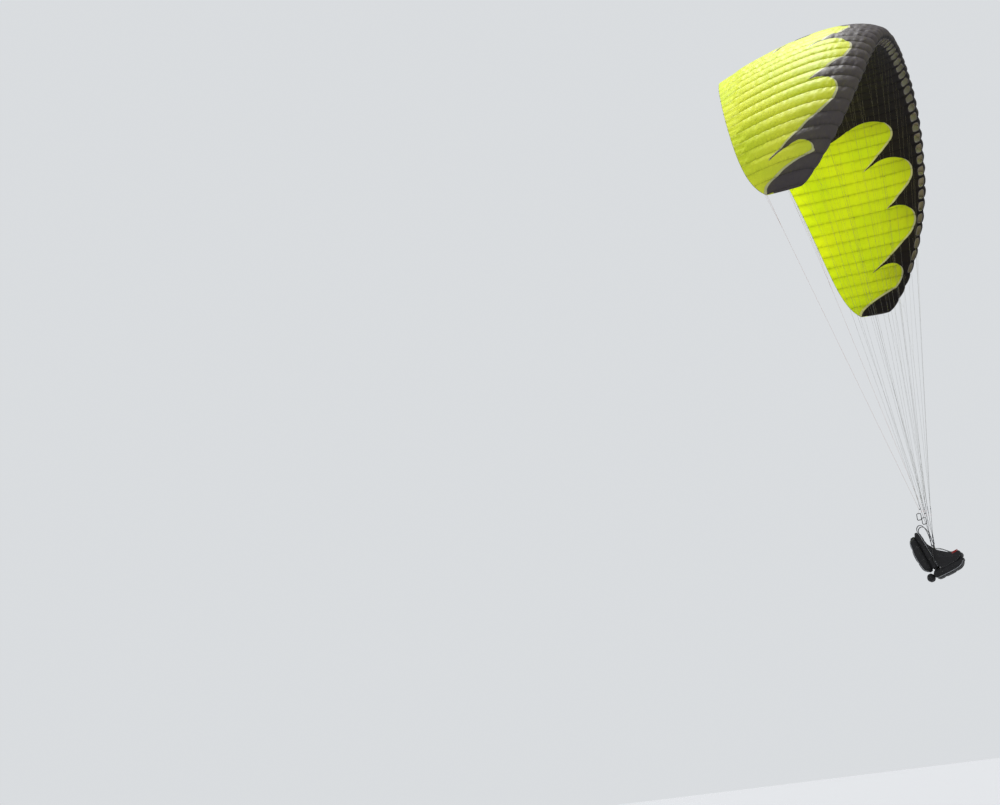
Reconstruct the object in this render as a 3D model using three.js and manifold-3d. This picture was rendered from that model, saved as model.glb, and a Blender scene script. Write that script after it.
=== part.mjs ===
// Ram-air paraglider: arched canopy, line cascades, risers and seated harness.
// Millimetres, +X forward, +Y to the pilot's left, +Z up.
// The origin is on the canopy's lower surface, at mid-span, a quarter chord behind the nose.
import * as THREE from 'three';
import { mergeVertices } from 'three/addons/utils/BufferGeometryUtils.js';
import Module from 'manifold-3d';

const wasm = await Module();
wasm.setup();

// Canopy.
const HALF_SPAN = 5850; // laid flat, centre to tip
const ROOT_CHORD = 2900;
const TIP_CHORD_SHARE = 0.19;
const ARC_DEG = 82; // lean of the last rib
const ARC_POWER = 1.15;
const SWEEP = 800; // how far the tip's quarter chord lies behind the root's
const SWEEP_POWER = 4;
const NOSE_UP_DEG = 1.7;
const TIP_NOSE_UP_DEG = 4;
const THICKNESS = 0.165; // of the chord
const CAMBER = 0.03;
const CAMBER_PLACE = 0.35;
const TRAILING_EDGE_HALF = 6;
const QUARTER = 0.25;
const HALF_CELLS = 23.5; // one cell straddles the middle, 23 more lie on each side
const CELL_TAPER = 0.18; // outer cells are narrower
const TOP_BULGE = 0.075; // of the cell width
const BOTTOM_BULGE = 0.05;
const INTAKE_DENT = 0.12;
const BULGE_FADE = 5; // the bulge fades over the last 1 / BULGE_FADE of the chord
const CAP_OPEN = 0.004; // parts the outline's two ends while the rib face is divided
const SEAM = 0.3; // gap between pieces that touch
const OVERLAP = 1.5; // how far joined shapes run into each other
const ARC_STEPS = 400;

// The rib outline, tail to nose over the top and back underneath.
const RIB_OUTLINE = [
  { side: 1, at: 1.0 }, { side: 1, at: 0.9 }, { side: 1, at: 0.78 }, { side: 1, at: 0.64 },
  { side: 1, at: 0.5 }, { side: 1, at: 0.36 }, { side: 1, at: 0.24 }, { side: 1, at: 0.14 },
  { side: 1, at: 0.07 }, { side: 1, at: 0.025 }, { side: 1, at: 0.006 }, { side: 0, at: 0 },
  { side: -1, at: 0.012 }, { side: -1, at: 0.04 }, { side: -1, at: 0.075 }, { side: -1, at: 0.15 },
  { side: -1, at: 0.3 }, { side: -1, at: 0.45 }, { side: -1, at: 0.6 }, { side: -1, at: 0.74 },
  { side: -1, at: 0.88 }, { side: -1, at: 1.0 },
];
const INTAKE_FROM = 0.012;
const INTAKE_TO = 0.04;

// Canopy pieces of the left half, in ribs counted from the middle.
const PIECES = [
  { name: 'inner', from: 3.5, to: 8.5 },
  { name: 'middle', from: 8.5, to: 16.5 },
  { name: 'outer', from: 16.5, to: 20.5 },
  { name: 'tip', from: 20.5, to: 23.5 },
];
const CENTRE_HALF = 3.5;

// Brake panel: the part of the trailing edge that the brakes pull down.
const PANEL_FRONT_X = -1400;
const PANEL_FROM = 0.425; // of the half span
const PANEL_TO = 0.715;
const PANEL_DROP = 20; // its hinge line lies this far under the lower surface
const PANEL_END_GAP = 6;
const PANEL_FRONT_GAP = 0.4;
const PANEL_REACH = 900;
const PANEL_SHIFT = 540; // the cutting box reaches further up than down

// Hang points, risers and lines.
const HANG = { x: -200, y: 210, z: -8015 };
const RISER_LEAN_DEG = 13;
const RISER_FOOT = 64;
const RISER_TOP = 500;
const RISER_WIDTH = 18;
const RISER_THICK = 2.5;
const RISER_BLOCK = { depth: 15, width: 26 };
const RISERS = [
  { name: 'a', footX: 4.5, topX: 34 },
  { name: 'b', footX: 0, topX: -14 },
  { name: 'c', footX: -4.5, topX: -65 },
];
const LINK = { width: 34, height: 36, bar: 4.5, corner: 6 };
const LOOP_INNER = 3.9;
const LOOP_OUTER = 6.2;
const MAIN_RADIUS = 2;
const UPPER_RADIUS = 1.4;
const FORK_KNOT = 8;
const STRAND_STEP = 4.5; // between strands that leave one fork
const INSERT = { width: 26, depth: 8, height: 8, step: 5.5 }; // keeps the lines apart on a link
const FORK_SHARE = 0.6; // where a main line forks, from the riser up
const BRAKE_FORK_SHARE = 0.7;
const TAB_GAP = 1.2;

// Each main line's upper ends, as ribs counted from the middle.
const LINE_ROWS = [
  { name: 'a', at: 0.075, mains: [[1.5, 4.5], [7.5, 10.5], [13.5, 16.5], [19.5, 21.5]] },
  { name: 'b', at: 0.3, mains: [[1.5, 4.5], [7.5, 10.5], [13.5, 16.5], [19.5, 22.5]] },
  { name: 'c', at: 0.6, mains: [[1.5, 4.5], [7.5, 10.5], [13.5, 17.5]] },
];
const BRAKE_TOPS = [10.5, 12.5, 14.5];
// The way the trailing edge draws the left fan, which slides down beside the main brake line.
const FAN_PULL = { x: 0.19308, y: -0.66822, z: -0.718472 };
const PULLEY = { up: 430, radius: 10, width: 8, back: 16, gap: 1.6, tabWidth: 6, tabHeight: 8, sides: 12 };
const HANDLE = { width: 80, height: 120, band: 14, corner: 24, x: -100, centre: 300, gap: 1 };

// Harness, measured from the hang point.
const CARABINER = { width: 64, height: 110, bar: 10, corner: 20 };
const HANG_LOOP_INNER = 7.8;
const HANG_LOOP_OUTER = 11.2;
const HANG_BORE = 7.6; // keeps the riser's stitched block off the turning bar
const BORE_SIDES = 16;
const WEB_WIDTH = 30;
const WEB_THICK = 4;
const MAIN_WEB_FOOT = -470;
const RECLINE_DEG = 19.7; // an empty harness hangs with its mass under the carabiners
const POD_SIDES = 20;
const HARNESS_SHIFT = 60;

// Padded pods: rings along one axis. u and v are the other two axes' centre and half size.
const SEAT_RINGS = [
  { at: -190, u: 0, v: -478, hu: 150, hv: 22 },
  { at: -172, u: 0, v: -480, hu: 178, hv: 37 },
  { at: 20, u: 0, v: -480, hu: 187, hv: 39.7 },
  { at: 205, u: 0, v: -480, hu: 180, hv: 38 },
  { at: 232, u: 0, v: -484, hu: 150, hv: 22 },
];
const PROTECTOR_RINGS = [
  { at: -330, u: 0, v: -585, hu: 120, hv: 42 },
  { at: -290, u: 0, v: -594, hu: 165, hv: 70 },
  { at: 20, u: 0, v: -598, hu: 184, hv: 78.6 },
  { at: 150, u: 0, v: -588, hu: 172, hv: 64 },
  { at: 214, u: 0, v: -566, hu: 132, hv: 32 },
];
const BACK_RINGS = [
  { at: -516, u: -240, v: 0, hu: 40, hv: 160 },
  { at: -470, u: -239.5, v: 0, hu: 49.2, hv: 176 },
  { at: -150, u: -239.5, v: 0, hu: 49.2, hv: 170 },
  { at: 100, u: -245, v: 0, hu: 42, hv: 140 },
  { at: 160, u: -250, v: 0, hu: 26, hv: 96 },
];
const PACK_RINGS = [
  { at: -500, u: -346, v: 0, hu: 34, hv: 110 },
  { at: -450, u: -362, v: 0, hu: 68, hv: 158 },
  { at: -200, u: -368.3, v: 0, hu: 80, hv: 168 },
  { at: 40, u: -352, v: 0, hu: 60, hv: 148 },
  { at: 120, u: -334, v: 0, hu: 40, hv: 100 },
];
const RESERVE_RINGS = [
  { at: -452, u: 0, v: -592, hu: 76, hv: 40 },
  { at: -430, u: 0, v: -590, hu: 108, hv: 60 },
  { at: -360, u: 0, v: -588, hu: 112, hv: 64 },
  { at: -330.4, u: 0, v: -588, hu: 84, hv: 40 },
];
const SIDE_PANEL = { inner: 187.4, outer: 194.7 };
const SIDE_OUTLINE = [
  { x: -188, z: -70 }, { x: -110, z: -240 }, { x: 60, z: -385 }, { x: 222, z: -436 },
  { x: 228, z: -500 }, { x: 120, z: -560 }, { x: -150, z: -560 }, { x: -188, z: -500 },
];
const SHOULDER = { y: 80, endY: 170, width: 44, thick: 8 };
const SHOULDER_PATH = [
  { x: -175, z: 63 }, { x: -195, z: 92 }, { x: -192, z: 150 }, { x: -150, z: 184 },
  { x: -95, z: 164 }, { x: -45, z: 80 }, { x: -16, z: -40 }, { x: -3, z: -140 }, { x: -2, z: -172 },
];
const CHEST = { x: 3.6, z: -170, thick: 2.5, height: 30, half: 223 };
const BUCKLE = { width: 60, depth: 12, height: 42 };
const LEG = { width: 40, thick: 3 };
const LEG_PATH = [
  { x: 385, y: 97, z: -329.9 }, { x: 330, y: 97, z: -349 }, { x: 250, y: 94, z: -300 },
  { x: 120, y: 76, z: -232 }, { x: 34, y: 61, z: -212 }, { x: 7, y: 56, z: -196 },
  { x: 7, y: 56, z: -158 },
];
const RESERVE_GRIP = { x: 150, z: -420, length: 110, height: 30, thick: 12 };

const MATERIALS = {
  canopy: { color: 0xc8e020, roughness: 0.7, metalness: 0 },
  line: { color: 0x9a9a8c, roughness: 0.8, metalness: 0 },
  webbing: { color: 0x1b1b1d, roughness: 0.85, metalness: 0 },
  pod: { color: 0x151517, roughness: 0.9, metalness: 0 },
  steel: { color: 0xb8babd, roughness: 0.3, metalness: 1 },
  alloy: { color: 0x6d7076, roughness: 0.35, metalness: 1 },
  plastic: { color: 0x101012, roughness: 0.5, metalness: 0 },
};

const rad = THREE.MathUtils.degToRad;
const group = new THREE.Group();

function vec(x, y, z) {
  return new THREE.Vector3(x, y, z);
}

function add(name, geometry, material) {
  const mesh = new THREE.Mesh(geometry, new THREE.MeshStandardMaterial(MATERIALS[material]));
  mesh.name = name;
  group.add(mesh);
}

function signedVolume(points, faces) {
  let sum = 0;
  for (const [a, b, c] of faces) {
    sum += points[a].dot(points[b].clone().cross(points[c]));
  }
  return sum / 6;
}

function solid(points, faces) {
  const turned = signedVolume(points, faces) < 0;
  const geometry = new THREE.BufferGeometry();
  const flat = points.flatMap((p) => [p.x, p.y, p.z]);
  geometry.setAttribute('position', new THREE.Float32BufferAttribute(flat, 3));
  geometry.setIndex(faces.flatMap(([a, b, c]) => (turned ? [a, c, b] : [a, b, c])));
  return geometry;
}

function loft(rings, capFaces) {
  const count = rings[0].length;
  const faces = [];
  for (let r = 0; r + 1 < rings.length; r += 1) {
    for (let i = 0; i < count; i += 1) {
      const j = (i + 1) % count;
      const a = r * count;
      const b = a + count;
      faces.push([a + i, a + j, b + i], [a + j, b + j, b + i]);
    }
  }
  const last = (rings.length - 1) * count;
  for (const [a, b, c] of capFaces) {
    faces.push([c, b, a], [last + a, last + b, last + c]);
  }
  return solid(rings.flat(), faces);
}

function fan(count) {
  return Array.from({ length: count - 2 }, (unused, i) => [0, i + 1, i + 2]);
}

function welded(geometry) {
  const bare = new THREE.BufferGeometry();
  bare.setAttribute('position', geometry.getAttribute('position').clone());
  if (geometry.getIndex()) {
    bare.setIndex(geometry.getIndex().clone());
  }
  return mergeVertices(bare, 1e-4);
}

function mirrored(geometry) {
  const copy = welded(geometry);
  copy.scale(1, -1, 1);
  const old = Array.from(copy.getIndex().array);
  const index = [];
  for (let i = 0; i < old.length; i += 3) {
    index.push(old[i], old[i + 2], old[i + 1]);
  }
  copy.setIndex(index);
  return copy;
}

function addPair(name, geometry, material) {
  add(`left_${name}`, geometry, material);
  add(`right_${name}`, mirrored(geometry), material);
}

function toManifold(geometry) {
  const merged = welded(geometry);
  return new wasm.Manifold(new wasm.Mesh({
    numProp: 3,
    vertProperties: new Float32Array(merged.getAttribute('position').array),
    triVerts: new Uint32Array(merged.getIndex().array),
  }));
}

function fromManifold(shape) {
  const mesh = shape.getMesh();
  const geometry = new THREE.BufferGeometry();
  const stride = mesh.numProp;
  const flat = [];
  for (let i = 0; i < mesh.vertProperties.length; i += stride) {
    flat.push(mesh.vertProperties[i], mesh.vertProperties[i + 1], mesh.vertProperties[i + 2]);
  }
  geometry.setAttribute('position', new THREE.Float32BufferAttribute(flat, 3));
  geometry.setIndex(Array.from(mesh.triVerts));
  return geometry;
}

function union(...geometries) {
  return fromManifold(geometries.map(toManifold).reduce((all, one) => all.add(one)));
}

// Canopy surface.
const arcTable = [{ y: 0, z: 0 }];
for (let i = 1; i <= ARC_STEPS; i += 1) {
  const lean = rad(ARC_DEG) * ((i - 0.5) / ARC_STEPS) ** ARC_POWER;
  const step = HALF_SPAN / ARC_STEPS;
  const last = arcTable[i - 1];
  arcTable.push({ y: last.y + step * Math.cos(lean), z: last.z - step * Math.sin(lean) });
}

function arcAt(share) {
  const place = Math.abs(share) * ARC_STEPS;
  const low = Math.min(Math.floor(place), ARC_STEPS - 1);
  const part = place - low;
  const a = arcTable[low];
  const b = arcTable[low + 1];
  return { y: a.y + (b.y - a.y) * part, z: a.z + (b.z - a.z) * part };
}

function spanShare(rib) {
  const t = Math.abs(rib) / HALF_CELLS;
  return Math.sign(rib) * t * (1 + CELL_TAPER - CELL_TAPER * t);
}

function cellWidth(share) {
  return (HALF_SPAN / HALF_CELLS) * (1 + CELL_TAPER - 2 * CELL_TAPER * Math.abs(share));
}

function ribHeight(side, at) {
  const m = CAMBER;
  const p = CAMBER_PLACE;
  const camber = at < p
    ? (m / (p * p)) * (2 * p * at - at * at)
    : (m / ((1 - p) * (1 - p))) * (1 - 2 * p + 2 * p * at - at * at);
  const half = 5 * THICKNESS
    * (0.2969 * Math.sqrt(at) - 0.126 * at - 0.3516 * at ** 2 + 0.2843 * at ** 3 - 0.1036 * at ** 4);
  return camber + side * half;
}

const RISE = -ribHeight(-1, QUARTER) * ROOT_CHORD;

function ribFrame(share) {
  const s = Math.abs(share);
  const chord = ROOT_CHORD * Math.sqrt(1 - (1 - TIP_CHORD_SHARE ** 2) * s * s);
  const lean = Math.sign(share) * rad(ARC_DEG) * s ** ARC_POWER;
  const noseUp = rad(NOSE_UP_DEG + TIP_NOSE_UP_DEG * s * s);
  const place = arcAt(share);
  const out = vec(0, Math.sin(lean), Math.cos(lean));
  const ahead = vec(1, 0, 0);
  const chordLine = ahead.clone().multiplyScalar(Math.cos(noseUp))
    .addScaledVector(out, Math.sin(noseUp));
  const across = out.clone().multiplyScalar(Math.cos(noseUp))
    .addScaledVector(ahead, -Math.sin(noseUp));
  const centre = vec(-SWEEP * s ** SWEEP_POWER, Math.sign(share) * place.y, place.z + RISE);
  return { chord, chordLine, across, centre };
}

function ribRing(share, bulge) {
  const frame = ribFrame(share);
  const flat = RIB_OUTLINE.map(({ side, at }) => new THREE.Vector2(
    (QUARTER - at) * frame.chord,
    ribHeight(side, at) * frame.chord + side * TRAILING_EDGE_HALF * at,
  ));
  const width = cellWidth(share);
  return flat.map((p, i) => {
    const { side, at } = RIB_OUTLINE[i];
    const moved = p.clone();
    if (bulge && i > 0 && i < flat.length - 1) {
      const along = flat[i + 1].clone().sub(flat[i - 1]).normalize();
      const normal = new THREE.Vector2(-along.y, along.x).negate();
      const dented = side < 0 && at >= INTAKE_FROM && at <= INTAKE_TO;
      const full = side < 0 ? BOTTOM_BULGE : TOP_BULGE;
      const amount = dented ? -INTAKE_DENT : full * Math.min(1, (1 - at) * BULGE_FADE);
      moved.addScaledVector(normal, amount * width);
    }
    return frame.centre.clone()
      .addScaledVector(frame.chordLine, moved.x)
      .addScaledVector(frame.across, moved.y);
  });
}

const outlineFlat = RIB_OUTLINE.map(({ side, at }) => (
  new THREE.Vector2(at, ribHeight(side, at) + side * CAP_OPEN * at)));
const RIB_CAP = THREE.ShapeUtils.triangulateShape(outlineFlat, []);

function canopyPiece(from, to) {
  const rings = [];
  for (let rib = from; rib <= to; rib += 0.5) {
    const inset = SEAM / 2 / HALF_SPAN;
    const nudge = (rib === from ? inset : 0) - (rib === to ? inset : 0);
    const isMiddle = Number.isInteger(rib);
    rings.push(ribRing(spanShare(rib) + nudge, isMiddle));
  }
  return loft(rings, RIB_CAP);
}

function underside(rib, at) {
  const spot = RIB_OUTLINE.findIndex((row) => row.side < 0 && row.at === at);
  return ribRing(spanShare(rib), false)[spot];
}

function undersideAtX(share, x) {
  const frame = ribFrame(share);
  const at = QUARTER - (x - frame.centre.x) / frame.chord;
  return frame.centre.clone()
    .addScaledVector(frame.chordLine, (QUARTER - at) * frame.chord)
    .addScaledVector(frame.across, ribHeight(-1, at) * frame.chord - TRAILING_EDGE_HALF * at);
}

// Brake panel.
const panelIn = undersideAtX(PANEL_FROM, PANEL_FRONT_X);
const panelOut = undersideAtX(PANEL_TO, PANEL_FRONT_X);
const hingeLine = panelOut.clone().sub(panelIn).setX(0).normalize();
const hingeUp = vec(1, 0, 0).cross(hingeLine).normalize();
const hingeStart = panelIn.clone().setX(PANEL_FRONT_X).addScaledVector(hingeUp, -PANEL_DROP);
const hingeLength = panelOut.clone().sub(panelIn).setX(0).length();

function panelBox(endGap, frontGap) {
  const long = hingeLength + 2 * endGap;
  const deep = PANEL_REACH + frontGap;
  const box = new THREE.BoxGeometry(deep, long, 2 * PANEL_REACH);
  box.translate(frontGap - deep / 2, hingeLength / 2, PANEL_SHIFT);
  const turn = new THREE.Matrix4().makeBasis(vec(1, 0, 0), hingeLine, hingeUp);
  turn.setPosition(hingeStart);
  box.applyMatrix4(turn);
  return box;
}

add('canopy_center', canopyPiece(-CENTRE_HALF, CENTRE_HALF), 'canopy');
for (const { name, from, to } of PIECES) {
  const whole = canopyPiece(from, to);
  if (name === 'middle') {
    const shape = toManifold(whole);
    const opening = toManifold(panelBox(PANEL_END_GAP, PANEL_FRONT_GAP));
    const fixed = fromManifold(shape.subtract(opening));
    const panel = fromManifold(shape.intersect(toManifold(panelBox(0, 0))));
    addPair(`canopy_${name}`, fixed, 'canopy');
    addPair('brake_panel', panel, 'canopy');
  } else {
    addPair(`canopy_${name}`, whole, 'canopy');
  }
}

// Shapes for lines and fittings.
function rod(from, to, radius, sides = 6) {
  const along = to.clone().sub(from).normalize();
  const other = Math.abs(along.x) > 0.9 ? vec(0, 1, 0) : vec(1, 0, 0);
  const u = along.clone().cross(other).normalize();
  const v = along.clone().cross(u);
  const rings = [from, to].map((centre) => Array.from({ length: sides }, (unused, i) => {
    const turn = (2 * Math.PI * i) / sides;
    return centre.clone()
      .addScaledVector(u, radius * Math.cos(turn))
      .addScaledVector(v, radius * Math.sin(turn));
  }));
  return loft(rings, fan(sides));
}

function knot(centre, radius) {
  const ball = new THREE.IcosahedronGeometry(radius, 1);
  ball.translate(centre.x, centre.y, centre.z);
  return ball;
}

function block(width, depth, height, centre) {
  const box = new THREE.BoxGeometry(width, depth, height);
  box.translate(centre.x, centre.y, centre.z);
  return box;
}

function hoop(outer, inner, width, centre) {
  const shape = new THREE.Shape().absarc(0, 0, outer, 0, 2 * Math.PI);
  shape.holes.push(new THREE.Path().absarc(0, 0, inner, 0, 2 * Math.PI, true));
  const ring = new THREE.ExtrudeGeometry(shape, { depth: width, bevelEnabled: false, curveSegments: 8 });
  ring.translate(0, 0, -width / 2);
  ring.rotateX(Math.PI / 2);
  ring.translate(centre.x, centre.y, centre.z);
  return ring;
}

function roundedPath(path, width, height, corner) {
  const w = width / 2;
  const h = height / 2;
  path.moveTo(w - corner, -h);
  path.absarc(w - corner, -h + corner, corner, -Math.PI / 2, 0);
  path.absarc(w - corner, h - corner, corner, 0, Math.PI / 2);
  path.absarc(-w + corner, h - corner, corner, Math.PI / 2, Math.PI);
  path.absarc(-w + corner, -h + corner, corner, Math.PI, 1.5 * Math.PI);
  path.closePath();
  return path;
}

// A flat ring lying in the Y-Z plane.
function frameRing(width, height, bar, corner, thick) {
  const shape = roundedPath(new THREE.Shape(), width, height, corner);
  const hole = roundedPath(new THREE.Path(), width - 2 * bar, height - 2 * bar, corner - bar);
  shape.holes.push(hole);
  const ring = new THREE.ExtrudeGeometry(shape, { depth: thick, bevelEnabled: false, curveSegments: 4 });
  ring.translate(0, 0, -thick / 2);
  ring.rotateX(Math.PI / 2);
  ring.rotateZ(Math.PI / 2);
  return ring;
}

// Risers: built upright at the left hang point, then leaned outwards.
const lean = new THREE.Matrix4().makeRotationX(-rad(RISER_LEAN_DEG));
lean.setPosition(HANG.x, HANG.y, HANG.z);

function leaned(geometry) {
  geometry.applyMatrix4(lean);
  return geometry;
}

function leanedPoint(x, y, z) {
  return vec(x, y, z).applyMatrix4(lean);
}

const blockLow = HANG_LOOP_OUTER - OVERLAP;
const blockHigh = RISER_FOOT - SEAM;
const base = union(
  hoop(HANG_LOOP_OUTER, HANG_LOOP_INNER, WEB_WIDTH, vec(HANG.x, HANG.y, HANG.z)),
  leaned(block(RISER_BLOCK.depth, RISER_BLOCK.width, blockHigh - blockLow,
    vec(0, 0, (blockHigh + blockLow) / 2))),
);
const bore = new THREE.CylinderGeometry(HANG_BORE, HANG_BORE, 2 * WEB_WIDTH, BORE_SIDES);
bore.translate(HANG.x, HANG.y, HANG.z);
addPair('riser_base', fromManifold(toManifold(base).subtract(toManifold(bore))), 'webbing');

const linkLow = RISER_TOP;
const linkHigh = RISER_TOP + LINK.height - LINK.bar;
const insertX = {};
for (const { name, footX, topX } of RISERS) {
  const low = vec(footX, 0, RISER_FOOT);
  const high = vec(topX, 0, RISER_TOP - LOOP_OUTER + OVERLAP);
  const strapLength = low.distanceTo(high);
  const strap = new THREE.BoxGeometry(RISER_THICK, RISER_WIDTH, strapLength);
  strap.translate(0, 0, strapLength / 2);
  strap.rotateY(Math.atan2(high.x - low.x, high.z - low.z));
  strap.translate(low.x, low.y, low.z);
  const loop = hoop(LOOP_OUTER, LOOP_INNER, RISER_WIDTH, vec(topX, 0, RISER_TOP));
  addPair(`riser_${name}`, leaned(union(strap, loop)), 'webbing');
  const link = frameRing(LINK.width, LINK.height, LINK.bar, LINK.corner, LINK.bar);
  link.translate(topX, 0, (linkLow + linkHigh) / 2);
  addPair(`${name}_link`, leaned(link), 'steel');
  insertX[name] = topX;
}

function forkPoint(start, tops, share) {
  const middle = tops.reduce((sum, p) => sum.add(p), vec(0, 0, 0)).divideScalar(tops.length);
  return start.clone().lerp(middle, share);
}

// The strands that leave one fork. They start side by side and never cross.
function strands(fork, tops) {
  const aside = tops[tops.length - 1].clone().sub(tops[0]).normalize();
  return tops.map((top, i) => {
    const root = fork.clone().addScaledVector(aside, STRAND_STEP * (i - (tops.length - 1) / 2));
    return rod(root, top.clone().add(root.clone().sub(top).setLength(TAB_GAP)), UPPER_RADIUS);
  });
}

// A fan of main lines, each of which forks near its top.
function tree(holder, starts, mains, topAt) {
  const bits = [holder];
  mains.forEach((ribs, row) => {
    const tops = ribs.map(topAt);
    const fork = forkPoint(starts[row], tops, FORK_SHARE);
    bits.push(rod(starts[row], fork, MAIN_RADIUS), knot(fork, FORK_KNOT), ...strands(fork, tops));
  });
  return union(...bits);
}

for (const { name, at, mains } of LINE_ROWS) {
  const high = linkHigh + LINK.bar / 2 + SEAM + INSERT.height / 2;
  const spot = vec(insertX[name], 0, high);
  const insert = leaned(block(INSERT.depth, INSERT.width, INSERT.height, spot));
  const starts = mains.map((unused, i) => (
    leanedPoint(spot.x, INSERT.step * (i - (mains.length - 1) / 2), high)));
  addPair(`${name}_lines`, tree(insert, starts, mains, (rib) => underside(rib, at)), 'line');
}

// Brakes.
const rearRiser = RISERS[2];
const pulleyShare = (PULLEY.up - RISER_FOOT) / (RISER_TOP - RISER_FOOT);
const rearX = rearRiser.footX + (rearRiser.topX - rearRiser.footX) * pulleyShare;
const pulleyX = rearX - PULLEY.back;
const sheave = new THREE.CylinderGeometry(PULLEY.radius, PULLEY.radius, PULLEY.width, PULLEY.sides);
sheave.translate(pulleyX, 0, PULLEY.up);
const tabFrom = rearX - RISER_THICK / 2 - PULLEY.gap;
const tab = block(tabFrom - pulleyX, PULLEY.tabWidth, PULLEY.tabHeight,
  vec((tabFrom + pulleyX) / 2, 0, PULLEY.up));
addPair('brake_pulley', leaned(union(sheave, tab)), 'plastic');

const pulley = leanedPoint(pulleyX, 0, PULLEY.up);
const brakeStart = vec(pulley.x - PULLEY.radius, pulley.y, pulley.z + PULLEY.radius + FORK_KNOT);
const brakeTops = BRAKE_TOPS.map((rib) => underside(rib, 1));
const brakeFork = forkPoint(brakeStart, brakeTops, BRAKE_FORK_SHARE);
const brakeRun = brakeFork.clone().sub(brakeStart).normalize();
const fanPull = vec(FAN_PULL.x, FAN_PULL.y, FAN_PULL.z);
const fanSide = fanPull.addScaledVector(brakeRun, -fanPull.dot(brakeRun)).normalize();
const brakeEnd = brakeFork.clone().addScaledVector(fanSide, -(FORK_KNOT + MAIN_RADIUS + SEAM));
addPair('brake_line', union(
  knot(brakeStart, FORK_KNOT), rod(brakeStart, brakeEnd, MAIN_RADIUS)), 'line');
addPair('brake_fan', union(knot(brakeFork, FORK_KNOT), ...strands(brakeFork, brakeTops)), 'line');

const handleCentre = vec(HANG.x + HANDLE.x, pulley.y, HANG.z + HANDLE.centre);
const grip = frameRing(HANDLE.width, HANDLE.height, HANDLE.band, HANDLE.corner, HANDLE.band);
grip.rotateZ(Math.PI / 2);
grip.translate(handleCentre.x, handleCentre.y, handleCentre.z);
const cordTop = vec(pulley.x, pulley.y, pulley.z - PULLEY.radius - HANDLE.gap);
const cordFoot = vec(cordTop.x, cordTop.y, handleCentre.z + HANDLE.height / 2 - HANDLE.band / 2);
addPair('brake_handle', union(grip, rod(cordFoot, cordTop, MAIN_RADIUS)), 'webbing');

// Carabiners and main webbing.
const carabiner = frameRing(
  CARABINER.width, CARABINER.height, CARABINER.bar, CARABINER.corner, CARABINER.bar);
const carabinerMiddle = (CARABINER.bar - CARABINER.height) / 2;
carabiner.translate(HANG.x, HANG.y, HANG.z + carabinerMiddle);
addPair('carabiner', carabiner, 'alloy');

const lowBar = HANG.z + CARABINER.bar - CARABINER.height;
const webTop = lowBar - HANG_LOOP_OUTER + OVERLAP;
const webFoot = HANG.z + MAIN_WEB_FOOT;
addPair('main_webbing', union(
  hoop(HANG_LOOP_OUTER, HANG_LOOP_INNER, WEB_WIDTH, vec(HANG.x, HANG.y, lowBar)),
  block(WEB_THICK, WEB_WIDTH, webTop - webFoot, vec(HANG.x, HANG.y, (webTop + webFoot) / 2)),
), 'webbing');

// Padded harness shells, built upright and then reclined about the hang points.
const recline = new THREE.Matrix4().makeRotationY(-rad(RECLINE_DEG));
recline.setPosition(HANG.x, 0, HANG.z);

function reclined(geometry) {
  geometry.translate(HARNESS_SHIFT, 0, 0);
  geometry.applyMatrix4(recline);
  return geometry;
}

function pod(rows, axis) {
  const rings = rows.map(({ at, u, v, hu, hv }) => (
    Array.from({ length: POD_SIDES }, (unused, i) => {
      const turn = (2 * Math.PI * (i + 0.5)) / POD_SIDES;
      const square = (value) => Math.sign(value) * Math.sqrt(Math.abs(value));
      const a = u + hu * square(Math.cos(turn));
      const b = v + hv * square(Math.sin(turn));
      return axis === 'x' ? vec(at, a, b) : vec(a, b, at);
    })
  ));
  return loft(rings, fan(POD_SIDES));
}

add('harness_seat', reclined(pod(SEAT_RINGS, 'x')), 'pod');
add('harness_protector', reclined(pod(PROTECTOR_RINGS, 'x')), 'pod');
add('harness_back', reclined(pod(BACK_RINGS, 'z')), 'pod');
add('harness_rear_pocket', reclined(pod(PACK_RINGS, 'z')), 'pod');
add('reserve_container', reclined(pod(RESERVE_RINGS, 'x')), 'pod');

const sideShape = new THREE.Shape(SIDE_OUTLINE.map(({ x, z }) => new THREE.Vector2(x, z)));
const sidePanel = new THREE.ExtrudeGeometry(sideShape, {
  depth: SIDE_PANEL.outer - SIDE_PANEL.inner,
  bevelEnabled: false,
});
sidePanel.rotateX(Math.PI / 2);
sidePanel.translate(0, SIDE_PANEL.outer, 0);
addPair('harness_side', reclined(sidePanel), 'pod');

// Straps.
function strap(path, width, thick) {
  const rings = path.map((p, i) => {
    const before = path[Math.max(i - 1, 0)];
    const after = path[Math.min(i + 1, path.length - 1)];
    const along = after.clone().sub(before).normalize();
    const side = vec(0, 1, 0).addScaledVector(along, -along.y).normalize();
    const up = along.clone().cross(side);
    return [[-1, -1], [1, -1], [1, 1], [-1, 1]].map(([a, b]) => p.clone()
      .addScaledVector(side, (a * width) / 2)
      .addScaledVector(up, (b * thick) / 2));
  });
  return loft(rings, fan(4));
}

const shoulderPath = SHOULDER_PATH.map(({ x, z }, i) => {
  const share = i / (SHOULDER_PATH.length - 1);
  return vec(HANG.x + x, SHOULDER.y + (SHOULDER.endY - SHOULDER.y) * share, HANG.z + z);
});
addPair('shoulder_strap', strap(shoulderPath, SHOULDER.width, SHOULDER.thick), 'webbing');

add('chest_strap', block(CHEST.thick, 2 * CHEST.half, CHEST.height,
  vec(HANG.x + CHEST.x, 0, HANG.z + CHEST.z)), 'webbing');
add('chest_buckle', block(BUCKLE.depth, BUCKLE.width, BUCKLE.height, vec(
  HANG.x + CHEST.x + CHEST.thick / 2 + SEAM + BUCKLE.depth / 2, 0, HANG.z + CHEST.z)), 'plastic');

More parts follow.
